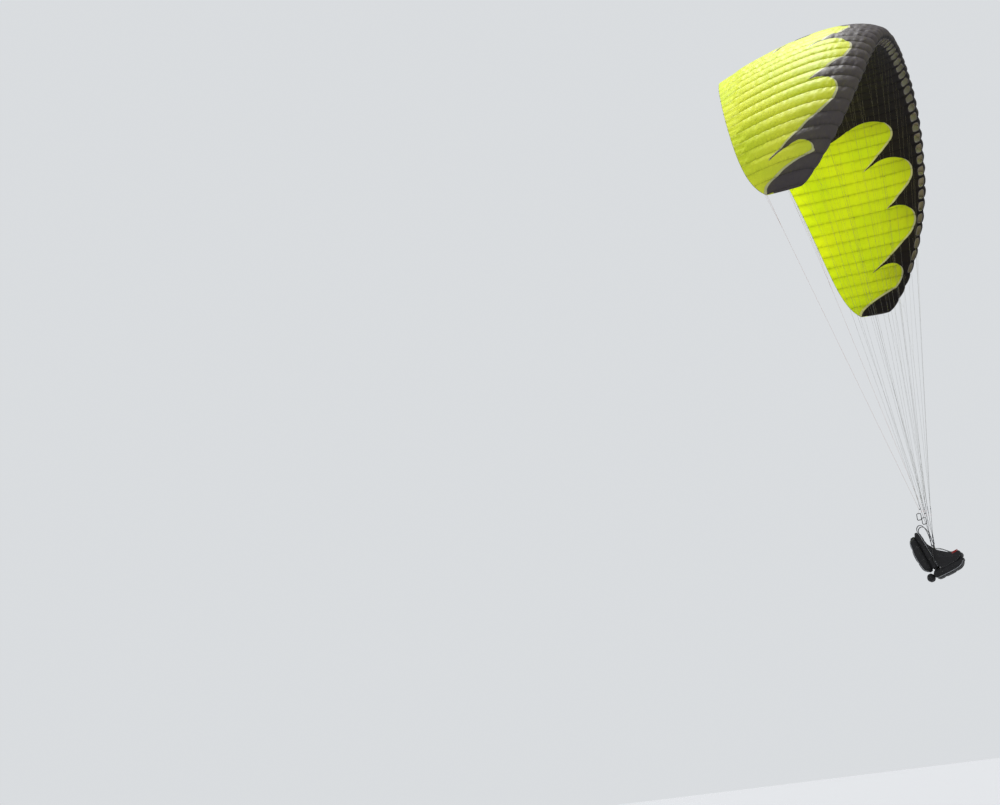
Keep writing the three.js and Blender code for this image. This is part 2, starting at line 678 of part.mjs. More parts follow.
const legPath = LEG_PATH.map(({ x, y, z }) => vec(HANG.x + x, y, HANG.z + z));
addPair('leg_strap', strap(legPath, LEG.width, LEG.thick), 'webbing');

const gripMiddle = SIDE_PANEL.outer + SEAM + RESERVE_GRIP.thick / 2;
add('reserve_handle', reclined(block(RESERVE_GRIP.length, RESERVE_GRIP.thick, RESERVE_GRIP.height,
  vec(RESERVE_GRIP.x, -gripMiddle, RESERVE_GRIP.z))), 'webbing');

export default group;
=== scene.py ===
"""Ram-air paraglider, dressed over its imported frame.

Metres in the row frame: +X forward, +Y to the pilot's left, +Z up. Whatever both halves share is
made for the left half and mirrored by Side.
"""
from __future__ import annotations

import logging
from collections.abc import Callable
from dataclasses import dataclass, field
from enum import Enum
from functools import partial

import bmesh
import bpy
import numpy as np
from mathutils import Matrix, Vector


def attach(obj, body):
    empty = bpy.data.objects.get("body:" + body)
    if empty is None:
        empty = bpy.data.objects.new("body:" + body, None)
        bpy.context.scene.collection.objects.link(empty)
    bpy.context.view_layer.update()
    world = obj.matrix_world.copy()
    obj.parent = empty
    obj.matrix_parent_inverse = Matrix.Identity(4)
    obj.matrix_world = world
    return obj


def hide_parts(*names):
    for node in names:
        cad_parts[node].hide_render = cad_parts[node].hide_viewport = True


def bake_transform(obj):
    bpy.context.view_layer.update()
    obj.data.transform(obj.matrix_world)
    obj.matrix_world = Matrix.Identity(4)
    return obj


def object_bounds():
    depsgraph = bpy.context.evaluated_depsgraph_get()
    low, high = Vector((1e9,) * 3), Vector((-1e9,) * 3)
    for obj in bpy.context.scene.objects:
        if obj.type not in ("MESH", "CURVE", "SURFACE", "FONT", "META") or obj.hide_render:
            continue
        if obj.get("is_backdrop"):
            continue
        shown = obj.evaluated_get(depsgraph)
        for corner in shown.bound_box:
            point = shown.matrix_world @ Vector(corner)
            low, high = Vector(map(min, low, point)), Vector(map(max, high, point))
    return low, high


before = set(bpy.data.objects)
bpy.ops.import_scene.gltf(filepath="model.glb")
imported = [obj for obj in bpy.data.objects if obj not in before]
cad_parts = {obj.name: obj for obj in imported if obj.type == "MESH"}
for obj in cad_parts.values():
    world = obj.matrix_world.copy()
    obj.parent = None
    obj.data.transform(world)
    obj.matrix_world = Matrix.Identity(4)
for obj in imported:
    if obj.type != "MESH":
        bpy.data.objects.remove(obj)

LOG = logging.getLogger("paraglider")
CAD_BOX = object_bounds()

Array = np.ndarray
Colour = tuple[float, float, float, float]
Adder = Callable[..., bpy.types.NodeSocket]

AHEAD, ACROSS, UP = np.eye(3)
HANG = np.array([-0.2, 0.21, -8.015])
MM = 0.001


class Side(Enum):
    """The two halves, each with the sign of its Y."""

    LEFT = 1
    RIGHT = -1

    def __str__(self) -> str:
        """Return the word that the names of this half's pieces start with."""
        return self.name.lower()

    def of(self, points: Array) -> Array:
        """Return points of the left half, mirrored for this half."""
        return points * np.array([1.0, self.value, 1.0])


# Colour and small geometry


def linear(colour: str) -> Colour:
    """Turn an sRGB hex colour into the linear values that a shader takes.

    Args:
        colour: Six hex digits after a hash sign.

    Returns:
        Red, green, blue and an alpha of one.
    """
    parts = [int(colour[i:i + 2], 16) / 255 for i in (1, 3, 5)]
    red, green, blue = (c / 12.92 if c <= 0.04045 else ((c + 0.055) / 1.055) ** 2.4 for c in parts)
    return red, green, blue, 1.0


def unit(vector: Array) -> Array:
    """Return the vector or vectors at length one."""
    return vector / np.maximum(np.linalg.norm(vector, axis=-1, keepdims=True), 1e-12)


def smooth(value: Array) -> Array:
    """Return a smooth step from 0 to 1 of a value that is clipped to that range."""
    t = np.clip(value, 0.0, 1.0)
    return t * t * (3 - 2 * t)


def unsmooth(weight: float) -> float:
    """Return the place at which smooth() gives this weight."""
    return 0.5 - np.sin(np.arcsin(np.clip(1 - 2 * weight, -1, 1)) / 3)


def squared(a: Array, b: Array, power: float, outer: float) -> Array:
    """Return the size factors that turn a square of points into a rounded one round the origin.

    Args:
        a: The points' first coordinates, 1 on the square's edge.
        b: Their second coordinates.
        power: 2 for a circle, and more for squarer corners.
        outer: How far out, in squares, the rounding has faded.

    Returns:
        A factor for each point.
    """
    far = np.maximum(np.maximum(np.abs(a), np.abs(b)), 1e-6)
    inner = (np.abs(a / far) ** power + np.abs(b / far) ** power) ** (-1 / power)
    return 1 + (inner - 1) * np.clip((outer - far) / (outer - 1), 0, 1)


def grid(rows: int, columns: int, round_it: bool = False) -> Array:
    """Return the four-sided faces of a grid of points stored row by row.

    Args:
        rows: How many rows of points there are.
        columns: How many points a row has.
        round_it: True if the last column joins the first.

    Returns:
        Point numbers, four to a face.
    """
    row, column = np.mgrid[:rows - 1, :columns - (not round_it)]
    after = (column + 1) % columns
    low, high = row * columns, (row + 1) * columns
    return np.stack([low + column, low + after, high + after, high + column], -1).reshape(-1, 4)


def round_profile(radius: float, sides: int = 8) -> Array:
    """Return a circle of points for the cross-section of a cord or bar."""
    turn = 2 * np.pi * np.arange(sides) / sides
    return radius * np.stack([np.cos(turn), np.sin(turn)], -1)


def band_profile(width: float, thick: float, crown: float = 0.0) -> Array:
    """Return the cross-section of a strap with rounded edges.

    Args:
        width: Full width.
        thick: Full thickness at the edge.
        crown: How much thicker each face is at the middle.

    Returns:
        Points round the section.
    """
    steps = np.linspace(-1, 1, 7)
    half, edge = width / 2, min(thick / 2, width / 4)
    rise = thick / 2 + crown * (1 - steps ** 2)
    flat = (half - edge) * steps
    turn = np.linspace(-np.pi / 2, np.pi / 2, 5)[1:-1]
    nose = np.stack([half - edge + edge * np.cos(turn), thick / 2 * np.sin(turn)], -1)
    top = np.stack([flat[::-1], rise], -1)
    return np.concatenate([np.stack([flat, -rise], -1), nose, top, -nose])


def smooth_path(points: Array, count: int) -> Array:
    """Return a Catmull-Rom curve through the points.

    Args:
        points: Rows of coordinates.
        count: How many evenly spaced points the result has.

    Returns:
        The curve's points.
    """
    held = np.concatenate([[2 * points[0] - points[1]], points, [2 * points[-1] - points[-2]]])
    fine = []
    for a, b, c, d in zip(held[:-3], held[1:-2], held[2:-1], held[3:]):
        t = np.linspace(0, 1, 16, endpoint=False)[:, None]
        fine.append(0.5 * (2 * b + (c - a) * t + (2 * a - 5 * b + 4 * c - d) * t ** 2
                           + (3 * b - a - 3 * c + d) * t ** 3))
    return spread(np.concatenate([*fine, points[-1:]]), count)


def spread(points: Array, stops: int | Array) -> Array:
    """Return points along a path.

    Args:
        points: The path's own points.
        stops: How many points to spread evenly over it, or their distances from its start.

    Returns:
        The points at those stops.
    """
    length = np.concatenate([[0], np.cumsum(np.linalg.norm(np.diff(points, axis=0), axis=1))])
    if isinstance(stops, int):
        stops = np.linspace(0, length[-1], stops)
    return np.stack([np.interp(stops, length, axis) for axis in points.T], -1)


def rounded_outline(outline: Array, corner: float, steps: int) -> Array:
    """Return an outline with each corner rounded.

    Args:
        outline: Corner points in order.
        corner: How far from a corner the rounding starts.
        steps: How many points each corner gets.

    Returns:
        The rounded outline.
    """
    t = np.linspace(0, 1, steps)[:, None]
    found = []
    for before, spot, after in zip(np.roll(outline, 1, 0), outline, np.roll(outline, -1, 0)):
        reach = min(corner, np.linalg.norm(before - spot) / 2.2, np.linalg.norm(after - spot) / 2.2)
        start, stop = spot + unit(before - spot) * reach, spot + unit(after - spot) * reach
        found.append((1 - t) ** 2 * start + 2 * t * (1 - t) * spot + t ** 2 * stop)
    return np.concatenate(found)


def rounded_frame(half_w: float, half_h: float, corner: float, steps: int) -> Array:
    """Return a closed path round a rectangle with rounded corners.

    Args:
        half_w: Half its width.
        half_h: Half its height.
        corner: The radius of its corners.
        steps: How many points each corner gets.

    Returns:
        Points round it, also along its straight sides.
    """
    turn = np.linspace(0, np.pi / 2, steps)
    whole = np.concatenate([
        np.stack([x * (half_w - corner) + corner * np.cos(turn + k * np.pi / 2),
                  y * (half_h - corner) + corner * np.sin(turn + k * np.pi / 2)], -1)
        for k, (x, y) in enumerate(((1, 1), (-1, 1), (-1, -1), (1, -1)))])
    full = []
    for a, b in zip(whole, np.roll(whole, -1, 0)):
        count = max(1, int(np.linalg.norm(b - a) / (corner * 0.6)))
        full += [a + (b - a) * k / count for k in range(count)]
    return np.array(full)


def shrunk(points: Array, size: float) -> Array:
    """Return points drawn towards their own middle, to this share of their size."""
    return points.mean(0) + (points - points.mean(0)) * size


# Pieces


def cross_joint(piece: bpy.types.Object, bodies: tuple[str, str], low: Array, high: Array,
                weights: tuple[float, float]) -> None:
    """Bake a piece's transform into its mesh. The end weights are turned into places, but the piece
    isn't blended between bodies.

    Args:
        piece: The piece.
        bodies: Not used.
        low: Not used.
        high: Not used.
        weights: The weights at low and at high.
    """
    first, second = (unsmooth(w) for w in weights)
    if abs(second - first) < 1e-3:
        second = first + 1e-3
    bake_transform(piece)


class Shape:
    """Points and faces gathered for one piece, with a finish number and marks for the shader.

    Wherever a method takes finish, it is the number of the piece's material. made lists every
    finished piece.
    """

    made: list[bpy.types.Object] = []

    def __init__(self) -> None:
        """Start empty."""
        self.points: list[Array] = []
        self.faces: list[tuple[int, ...]] = []
        self.finish: list[int] = []
        self.marks: dict[str, list[Array]] = {}
        self.count = 0

    def add(self, points: Array, faces: Array | list, finish: int = 0, **marks: Array) -> None:
        """Add a group of faces.

        Args:
            points: Rows of coordinates.
            faces: Point numbers within this group.
            finish: Its material.
            **marks: A value for each point, kept as a named attribute.
        """
        points = np.asarray(points, float).reshape(-1, 3)
        for name in set(marks) | set(self.marks):
            known = self.marks.setdefault(name, [np.zeros(self.count)])
            known.append(np.asarray(marks.get(name, np.zeros(len(points))), float).ravel())
        self.faces += [tuple(int(i) + self.count for i in face) for face in faces]
        self.finish += [finish] * len(faces)
        self.points.append(points)
        self.count += len(points)

    def tube(self, rings: Array, finish: int = 0, closed: bool = False) -> None:
        """Add a skin over rings of points.

        Args:
            rings: Points by ring and by place round the ring.
            finish: Its material.
            closed: True if the last ring joins the first. Otherwise both ends get a flat face.
        """
        count, many = len(rings), len(rings[0])
        faces = grid(count, many, True).tolist()
        ring = np.arange(many)
        low = (count - 1) * many
        if closed:
            after = (ring + 1) % many
            faces += np.stack([low + ring, low + after, after, ring], -1).tolist()
        else:
            faces += [ring[::-1].tolist(), (low + ring).tolist()]
        self.add(rings, faces, finish)

    def sweep(self, path: Array, profile: Array, across: Array, closed: bool = False,
              finish: int = 0, scale: Array | float = 1.0) -> None:
        """Draw a cross-section along a path.

        Args:
            path: The centre line.
            profile: The section's points, across first and then up.
            across: The direction of the section's first axis, before it is squared to the path.
            closed: True if the path's end joins its start.
            finish: Its material.
            scale: A size factor, or one for each point of the path.
        """
        along = np.roll(path, -1, 0) - np.roll(path, 1, 0) if closed else np.gradient(path, axis=0)
        along = unit(along)
        side = unit(across - along * np.sum(along * across, -1, keepdims=True))
        up = np.cross(along, side)
        size = np.broadcast_to(scale, len(path))[:, None, None]
        self.tube(path[:, None] + size * (profile[None, :, :1] * side[:, None]
                                          + profile[None, :, 1:] * up[:, None]), finish, closed)

    def rod(self, low: Array, high: Array, radius: float, finish: int = 0, sides: int = 6) -> None:
        """Add a straight round bar between two points."""
        across = ACROSS if abs(unit(high - low)[0]) > 0.9 else AHEAD
        self.sweep(np.stack([low, high]), round_profile(radius, sides), across, finish=finish)

    def lathe(self, centre: Array, axis: Array, across: Array,
              steps: list[tuple[float, float]], sides: int, finish: int = 0) -> None:
        """Add a turned form.

        Args:
            centre: The point on the axis from which the steps are measured.
            axis: The axis of turning.
            across: A direction square to the axis.
            steps: Distance along the axis and radius there, in order.
            sides: How many flats make the round.
            finish: Its material.
        """
        far, radius = np.array(steps).T
        self.sweep(centre + axis * far[:, None], round_profile(1.0, sides), across,
                   finish=finish, scale=radius)

    def plate(self, centre: Array, outline: Array, thick: float, bevel: float) -> None:
        """Add an upright plate with rounded edges that faces ahead.

        Args:
            centre: The origin of its outline, at mid-thickness.
            outline: Points round it, across and up.
            thick: Its thickness.
            bevel: How far its edges are rounded.
        """
        middle = (outline.max(0) + outline.min(0)) / 2
        reach = np.abs(outline - middle).max()
        turn = np.radians([90, 60, 30, 0])
        height, inset = -thick / 2 + bevel * (1 - np.sin(turn)), bevel * (1 - np.cos(turn))
        rings = []
        for level, edge in [*zip(height, inset), *zip(-height[::-1], inset[::-1])]:
            flat = middle + (outline - middle) * (1 - edge / reach)
            rings.append(centre + flat[:, :1] * ACROSS + flat[:, 1:] * UP + AHEAD * level)
        self.tube(np.array(rings))

    def stitch(self, path: Array, finish: int, pitch: float = 0.009, length: float = 0.005) -> None:
        """Sew a row of stitches along a path on the surface.

        Args:
            path: The row's line.
            finish: The thread.
            pitch: The distance from stitch to stitch.
            length: The length of a stitch.
        """
        whole = np.linalg.norm(np.diff(path, axis=0), axis=1).sum()
        for spot in np.arange(pitch / 2, whole - length, pitch):
            self.rod(*spread(path, np.array([spot, spot + length])), 0.0005, finish, 4)

    def threads(self, spots: Array, reach: Array, finish: int, radius: float = 0.0005) -> None:
        """Add short straight threads side by side, as in a bar tack.

        Args:
            spots: Their middles.
            reach: From the middle to an end, for all of them or for each.
            finish: Their material.
            radius: Their radius.
        """
        for spot, way in zip(spots, np.broadcast_to(reach, spots.shape)):
            self.rod(spot - way, spot + way, radius, finish, 4)

    def build(self, name: str, slot: str, body: str, finishes: list[Finishes], *nodes: str,
              crisp: float = 0.0, turn: bool = False, fill: float = 0.0) -> bpy.types.Object:
        """Make the piece and tie it to the frame.

        Args:
            name: The piece's name.
            slot: The name of a material slot, or "" for the floor. A piece with a name here is listed
                in made.
            body: The body that it rides on, or "" for a piece that is blended.
            finishes: Its materials, in the order of their numbers.
            *nodes: The solid nodes that it stands for.
            crisp: Edges bent by more than this many degrees are kept crisp.
            turn: True to turn every face outwards.
            fill: Not used.

        Returns:
            The new object, linked to the scene.
        """
        mesh = bpy.data.meshes.new(name)
        mesh.from_pydata(np.concatenate(self.points).tolist(), [], self.faces)
        mesh.validate()
        for label, values in self.marks.items():
            mark = mesh.attributes.new(label, "FLOAT", "POINT")
            mark.data.foreach_set("value", np.concatenate(values).astype(np.float32))
        for finish in finishes:
            mesh.materials.append(finish.value.get())
        mesh.polygons.foreach_set("material_index", self.finish)
        mesh.polygons.foreach_set("use_smooth", [True] * len(mesh.polygons))
        piece = bpy.data.objects.new(name, mesh)
        bpy.context.scene.collection.objects.link(piece)
        if turn:
            form = bmesh.new()
            form.from_mesh(mesh)
            bmesh.ops.recalc_face_normals(form, faces=form.faces)
            form.to_mesh(mesh)
            form.free()
        if crisp:
            mesh.set_sharp_from_angle(angle=float(np.radians(crisp)))
        if nodes:
            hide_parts(*nodes)
        if slot:
            self.made.append(piece)
        if body:
            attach(piece, body)
        return piece


# Finishes


def node(tree: bpy.types.NodeTree, kind: str, inputs: dict | tuple = (), way: str | None = None,
         output: str | None = None, **settings: object) -> bpy.types.NodeSocket | None:
    """Add a node with its settings and links.

    Args:
        tree: The material's tree.
        kind: The node's type, without the word ShaderNode. A Mix node mixes colours.
        inputs: Values, hex colours or sockets, by name or number or for the inputs in use.
        way: The operation of a Math node or the blend type of a Mix node.
        output: The output that is wanted, where it isn't the first one in use.
        **settings: The node's own properties.

    Returns:
        The output's socket, or None for a node that has none.
    """
    made = tree.nodes.new(f"ShaderNode{kind}")
    if kind == "Mix":
        settings["data_type"] = "RGBA"
    if way:
        settings["blend_type" if kind == "Mix" else "operation"] = way
    for name, value in settings.items():
        setattr(made, name, value)
    if isinstance(inputs, dict):
        pairs = [(made.inputs[key], value) for key, value in inputs.items()]
    else:
        pairs = list(zip([socket for socket in made.inputs if socket.enabled], inputs))
    for socket, value in pairs:
        if isinstance(value, bpy.types.NodeSocket):
            tree.links.new(value, socket)
        else:
            socket.default_value = linear(value) if isinstance(value, str) else value
    if output is not None:
        return made.outputs[output]
    return next((socket for socket in made.outputs if socket.enabled), None)


@dataclass(frozen=True)
class Finish:
    """A finish that a piece can take. Each kind adds its own nodes in dress()."""

    name: str

    def get(self) -> bpy.types.Material:
        """Make the material on first use.

        Returns:
            The material.
        """
        known = bpy.data.materials.get(self.name)
        if known is None:
            known = bpy.data.materials.new(self.name)
            known.use_nodes = True
            known.node_tree.nodes.clear()
            add = partial(node, known.node_tree)
            add("OutputMaterial", {"Surface": self.dress(add, add("TexCoord", output="Object"))})
        return known

    def dress(self, add: Adder, spot: bpy.types.NodeSocket) -> bpy.types.NodeSocket:
        """Add this finish's nodes.

        Args:
            add: node() for the material's own tree.
            spot: The place on the piece, in metres.

        Returns:
            The finished surface.
        """
        raise NotImplementedError


@dataclass(frozen=True)
class CanopyCloth(Finish):
    """Ripstop nylon, woven, calendered and coated on one face."""

    # Calendering and the coat give a crisp, faintly glossy face that creases at every seam.
    # The cloth is 0.08 mm thick, so the sun comes through the light panels and they glow.
    # The canopy is one lime cloth and one charcoal cloth. Each comes in a copy painted lit for the top
    # and a copy painted in shade for the underside.
    lime_top_painted_lit: str = "#F1F752"
    lime_low_painted_shade: str = "#DEEB26"
    deeper: str = "#BFE01A"
    # The top's charcoal is painted paler as sheen, and the underside's charcoal is painted darker as
    # shade.
    dark_top_painted_sheen: str = "#605A5F"
    dark_low_painted_shade: str = "#241F1F"
    piping: str = "#D9D8B6"
    seam: str = "#565A2E"
    thread: str = "#5A5F3A"
    sunlit: str = "#FFFBC0"
    cross_seams: tuple[float, ...] = (0.15, 0.36, 0.62)
    lets_through: float = 0.62
    # How far the creases are darkened with the seam colour, as painted shade.
    crease_painted_shade: float = 0.2

    def dress(self, add: Adder, spot: bpy.types.NodeSocket) -> bpy.types.NodeSocket:
        """Add the panels' colours painted lit and shaded, seams, grid, creases with painted shade, and
        gloss. See Finish.dress.
        """
        tongue, cell, reach, top, trim = (
            add("Attribute", output="Fac", attribute_name=name)
            for name in ("tongue", "cell", "reach", "top", "trim"))
        # Painted light: the top gets the lime painted lit, and the underside gets the lime painted in
        # shade.
        lime = add("Mix", (top, self.lime_low_painted_shade, self.lime_top_painted_lit))
        # Cloth from a roll differs a little from panel to panel.
        roll = add("TexNoise", {"Vector": spot, "Scale": 1.6, "Detail": 2.0})
        tone = add("MapRange", (roll, 0.35, 0.7, 0.0, 0.35))
        lime = add("Mix", (tone, lime, self.deeper))
        # Painted light: the top gets the charcoal painted with sheen, and the underside gets the
        # charcoal painted in shade.
        dark = add("Mix", (top, self.dark_low_painted_shade, self.dark_top_painted_sheen))
        inside = add("MapRange", (tongue, -0.004, 0.004))
        panel = add("Mix", (inside, dark, lime))
        # A pale piping cord runs round each tongue. It is drawn swelling on the side that faces the
        # nose and thinning to nothing, as a painted highlight.
        half = add("Math", (trim, 0.5), "MULTIPLY")
        line = add("Math", (tongue, half), "ADD")
        off = add("Math", (line,), "ABSOLUTE")
        past = add("Math", (off, half), "SUBTRACT")
        edge = add("MapRange", (past, -0.003, 0.002, 1.0, 0.0))
        # Sewn seams: one on every rib, and a few across the chord where panels join.
        rib = add("Math", (cell, 0.5), "ADD")
        near = add("Math", (rib, 0.5), "PINGPONG")
        seams = add("MapRange", (near, 0.012, 0.024, 0.28, 0.0))
        for at in self.cross_seams:
            across = add("Math", (reach, at, 0.0019), "COMPARE")
            faint = add("Math", (across, 0.09), "MULTIPLY")
            seams = add("Math", (seams, faint), "MAXIMUM")
        # Ripstop threads sit 5 mm apart. They are drawn 15 mm apart to show at this size.
        axes = add("SeparateXYZ", (spot,)).node.outputs
        threads = []
        for axis in (0, 1):
            run = add("Math", (axes[axis], 66.0), "MULTIPLY")
            wave = add("Math", (run, 0.5), "PINGPONG")
            threads.append(add("MapRange", (wave, 0.03, 0.10, 1.0, 0.0)))
        grid_lines = add("Math", tuple(threads), "MAXIMUM")
        shade = add("Math", (grid_lines, 0.06), "MULTIPLY")
        # Sewing gathers the cloth in creases 60 mm apart, square to each rib seam. The creases bump the
        # face and are darkened with the seam colour as painted shade.
        along = add("Math", (reach, 46.0), "MULTIPLY")
        over = add("Math", (cell, 1.7), "MULTIPLY")
        lane = add("CombineXYZ", (along, over, top))
        gather = add("TexNoise", {"Vector": lane, "Scale": 1.0, "Detail": 1.5})
        beside = add("MapRange", (near, 0.02, 0.30, 1.0, 0.0))
        crease = add("Math", (gather, beside), "MULTIPLY")
        crease_shade = add("MapRange", (crease, 0.2, 0.62, 0.0, self.crease_painted_shade))
        for share, colour, way in ((edge, self.piping, "MIX"), (seams, self.seam, "MULTIPLY"),
                                   (shade, self.thread, "MULTIPLY"), (crease_shade, self.seam, "MULTIPLY")):
            panel = add("Mix", (share, panel, colour), way)
        # Fine crinkles, some 60 mm across, run everywhere.
        drawn = add("Mapping", {0: spot, 3: (0.55, 1.0, 1.0)})
        noise = add("TexNoise", {"Vector": drawn, "Scale": 17.0, "Detail": 4.0,
                                 "Roughness": 0.62, "Distortion": 0.6})
        level = add("Math", (noise, 0.5), "SUBTRACT")
        crinkle = add("Math", (level,), "ABSOLUTE")
        height = add("Math", (crease, 1.6, crinkle), "MULTIPLY_ADD")
        height = add("Math", (grid_lines, 0.03, height), "MULTIPLY_ADD")
        normal = add("Bump", {"Height": height, "Distance": 0.011, "Strength": 0.6})
        face = add("BsdfPrincipled", {
            "Base Color": panel, "Roughness": 0.5, "IOR": 1.53, "Specular IOR Level": 0.2,
            "Coat Weight": 0.02, "Coat Roughness": 0.4, "Normal": normal})
        warm = add("Mix", (1.0, panel, self.sunlit), "MULTIPLY")
        glow = add("BsdfTranslucent", {"Color": warm, "Normal": normal})
        return add("MixShader", (self.lets_through, face, glow))


@dataclass(frozen=True)
class RibCloth(Finish):
    """Ripstop nylon with a hard coat on both faces, cut for the ribs inside."""

    # The hard coat gives a flat, papery white face that light still comes through.
    colour: str = "#CFCFC6"
    cloud: str = "#A9A99C"

    def dress(self, add: Adder, spot: bpy.types.NodeSocket) -> bpy.types.NodeSocket:
        """Add a cloudy white and slight waves. See Finish.dress."""
        noise = add("TexNoise", {"Vector": spot, "Scale": 9.0, "Detail": 3.0})
        share = add("MapRange", (noise, 0.3, 0.7, 0.0, 0.3))
        colour = add("Mix", (share, self.colour, self.cloud))
        normal = add("Bump", {"Height": noise, "Distance": 0.004, "Strength": 0.4})
        face = add("BsdfPrincipled", {
            "Base Color": colour, "Roughness": 0.5, "IOR": 1.53, "Normal": normal})
        return add("MixShader", (0.35, face, add("BsdfTranslucent", {"Color": colour})))


@dataclass(frozen=True)
class WovenTape(Finish):
    """Polyamide webbing or tape, woven as a twill."""

    # The weave gives fine slanting ribs, a matt face and a little pale lint on the high threads.
    colour: str = "#17171A"
    thread: str = "#2C2C30"
    pitch: float = 0.0022
    lint: str = "#6B6A66"

    def dress(self, add: Adder, spot: bpy.types.NodeSocket) -> bpy.types.NodeSocket:
        """Add the weave's ribs and lint. See Finish.dress."""
        axes = add("SeparateXYZ", (spot,)).node.outputs
        waves = []
        # The ribs of 25 mm webbing are 1.1 mm apart. They are drawn twice as coarse.
        for first in (0, 1):
            run = add("Math", (axes[first], axes[2]), "ADD")
            turn = add("Math", (run, 2 * np.pi / self.pitch), "MULTIPLY")
            waves.append(add("MapRange", (add("Math", (turn,), "SINE"), -1.0, 1.0)))
        weave = add("Math", tuple(waves), "MULTIPLY")
        lint = add("TexNoise", {"Vector": spot, "Scale": 60.0, "Detail": 5.0})
        fuzz = add("MapRange", (lint, 0.55, 0.8, 0.0, 0.25))
        colour = add("Mix", (weave, self.colour, self.thread))
        colour = add("Mix", (fuzz, colour, self.lint))
        normal = add("Bump", {"Height": weave, "Distance": 0.0006, "Strength": 0.7})
        return add("BsdfPrincipled", {
            "Base Color": colour, "Roughness": 0.82, "IOR": 1.53, "Specular IOR Level": 0.35,
            "Sheen Weight": 0.05, "Sheen Roughness": 0.5, "Normal": normal})


@dataclass(frozen=True)
class BraidedSheath(Finish):
    """Polyester sheath, braided over an aramid core, or the bare braided core."""

    # The braid gives a dull, slightly furry cord with slanting light and dark strands.
    colour: str = "#8F8E80"
    strand: str = "#3D3D38"

    def dress(self, add: Adder, spot: bpy.types.NodeSocket) -> bpy.types.NodeSocket:
        """Add the braid. See Finish.dress."""
        # Strands cross every 1.5 mm. They are drawn at 4 mm to show.
        braid = add("TexWave", {"Vector": spot, "Scale": 40.0, "Distortion": 1.5},
                    output="Fac", bands_direction="DIAGONAL")
        share = add("MapRange", (braid, 0.2, 0.8, 0.0, 0.45))
        colour = add("Mix", (share, self.colour, self.strand))
        normal = add("Bump", {"Height": braid, "Distance": 0.0004, "Strength": 0.6})
        return add("BsdfPrincipled", {
            "Base Color": colour, "Roughness": 0.75, "IOR": 1.57, "Normal": normal})


@dataclass(frozen=True)
class PackCloth(Finish):
    """Polyamide pack cloth of 500 denier, plain woven with a coated back."""

    # The plain weave gives an even black grain, worn paler where dust and rubbing collect.
    colour: str = "#0B0B0D"
    raised: str = "#17171A"
    dust: str = "#2B2926"
    pitch: float = 0.0024

    def dress(self, add: Adder, spot: bpy.types.NodeSocket) -> bpy.types.NodeSocket:
        """Add the weave, dust, small dents and a soft sheen. See Finish.dress."""
        axes = add("SeparateXYZ", (spot,)).node.outputs
        waves = []
        # The threads lie 0.6 mm apart. They are drawn at 2.4 mm to show.
        for axis in range(3):
            turn = add("Math", (axes[axis], 2 * np.pi / self.pitch), "MULTIPLY")
            waves.append(add("Math", (turn,), "SINE"))
        both = add("Math", (waves[1], waves[2]), "ADD")
        product = add("Math", (waves[0], both), "MULTIPLY")
        weave = add("MapRange", (product, -1.6, 1.6))
        wear = add("TexNoise", {"Vector": spot, "Scale": 7.0, "Detail": 6.0})
        dusty = add("MapRange", (wear, 0.5, 0.82, 0.0, 0.22))
        colour = add("Mix", (weave, self.colour, self.raised))
        colour = add("Mix", (dusty, colour, self.dust))
        rough = add("MapRange", (wear, 0.3, 0.7, 0.62, 0.8))
        height = add("Math", (weave, 0.25, wear), "MULTIPLY_ADD")
        normal = add("Bump", {"Height": height, "Distance": 0.0016, "Strength": 0.6})
        return add("BsdfPrincipled", {
            "Base Color": colour, "Roughness": rough, "IOR": 1.53, "Specular IOR Level": 0.3,
            "Sheen Weight": 0.04, "Sheen Roughness": 0.45, "Normal": normal})


@dataclass(frozen=True)
class SpacerMesh(Finish):
    """Polyester spacer mesh, knitted in two layers held apart by fine threads."""

    # The knit gives rows of small dark holes in a soft matt face.
    hole: str = "#08080A"
    yarn: str = "#232328"

    def dress(self, add: Adder, spot: bpy.types.NodeSocket) -> bpy.types.NodeSocket:
        """Add the holes of the knit. See Finish.dress."""
        # The holes are 3 mm apart in the real knit. They are drawn at 6 mm.
        holes = add("TexVoronoi", {"Vector": spot, "Scale": 165.0, "Randomness": 0.15})
        yarn = add("MapRange", (holes, 0.25, 0.5))
        colour = add("Mix", (yarn, self.hole, self.yarn))
        normal = add("Bump", {"Height": yarn, "Distance": 0.0012, "Strength": 0.8})
        return add("BsdfPrincipled", {
            "Base Color": colour, "Roughness": 0.9, "IOR": 1.57, "Normal": normal})


@dataclass(frozen=True)
class MouldedPolyamide(Finish):
    """Polyamide, injection moulded in a spark-eroded tool."""

    # The tool leaves a fine even grain, softly glossy, that scuffs to grey on the high spots.
    colour: str = "#151517"
    scuffed: str = "#4A4A4C"

    def dress(self, add: Adder, spot: bpy.types.NodeSocket) -> bpy.types.NodeSocket:
        """Add the mould's grain and scuffs. See Finish.dress."""
        grain = add("TexNoise", {"Vector": spot, "Scale": 900.0, "Detail": 2.0})
        scuff = add("TexNoise", {"Vector": spot, "Scale": 40.0, "Detail": 5.0})
        worn = add("MapRange", (scuff, 0.55, 0.75, 0.0, 0.3))
        colour = add("Mix", (worn, self.colour, self.scuffed))
        rough = add("MapRange", (scuff, 0.3, 0.7, 0.38, 0.55))
        normal = add("Bump", {"Height": grain, "Distance": 0.0002, "Strength": 0.5})
        return add("BsdfPrincipled", {
            "Base Color": colour, "Roughness": rough, "IOR": 1.53, "Normal": normal})


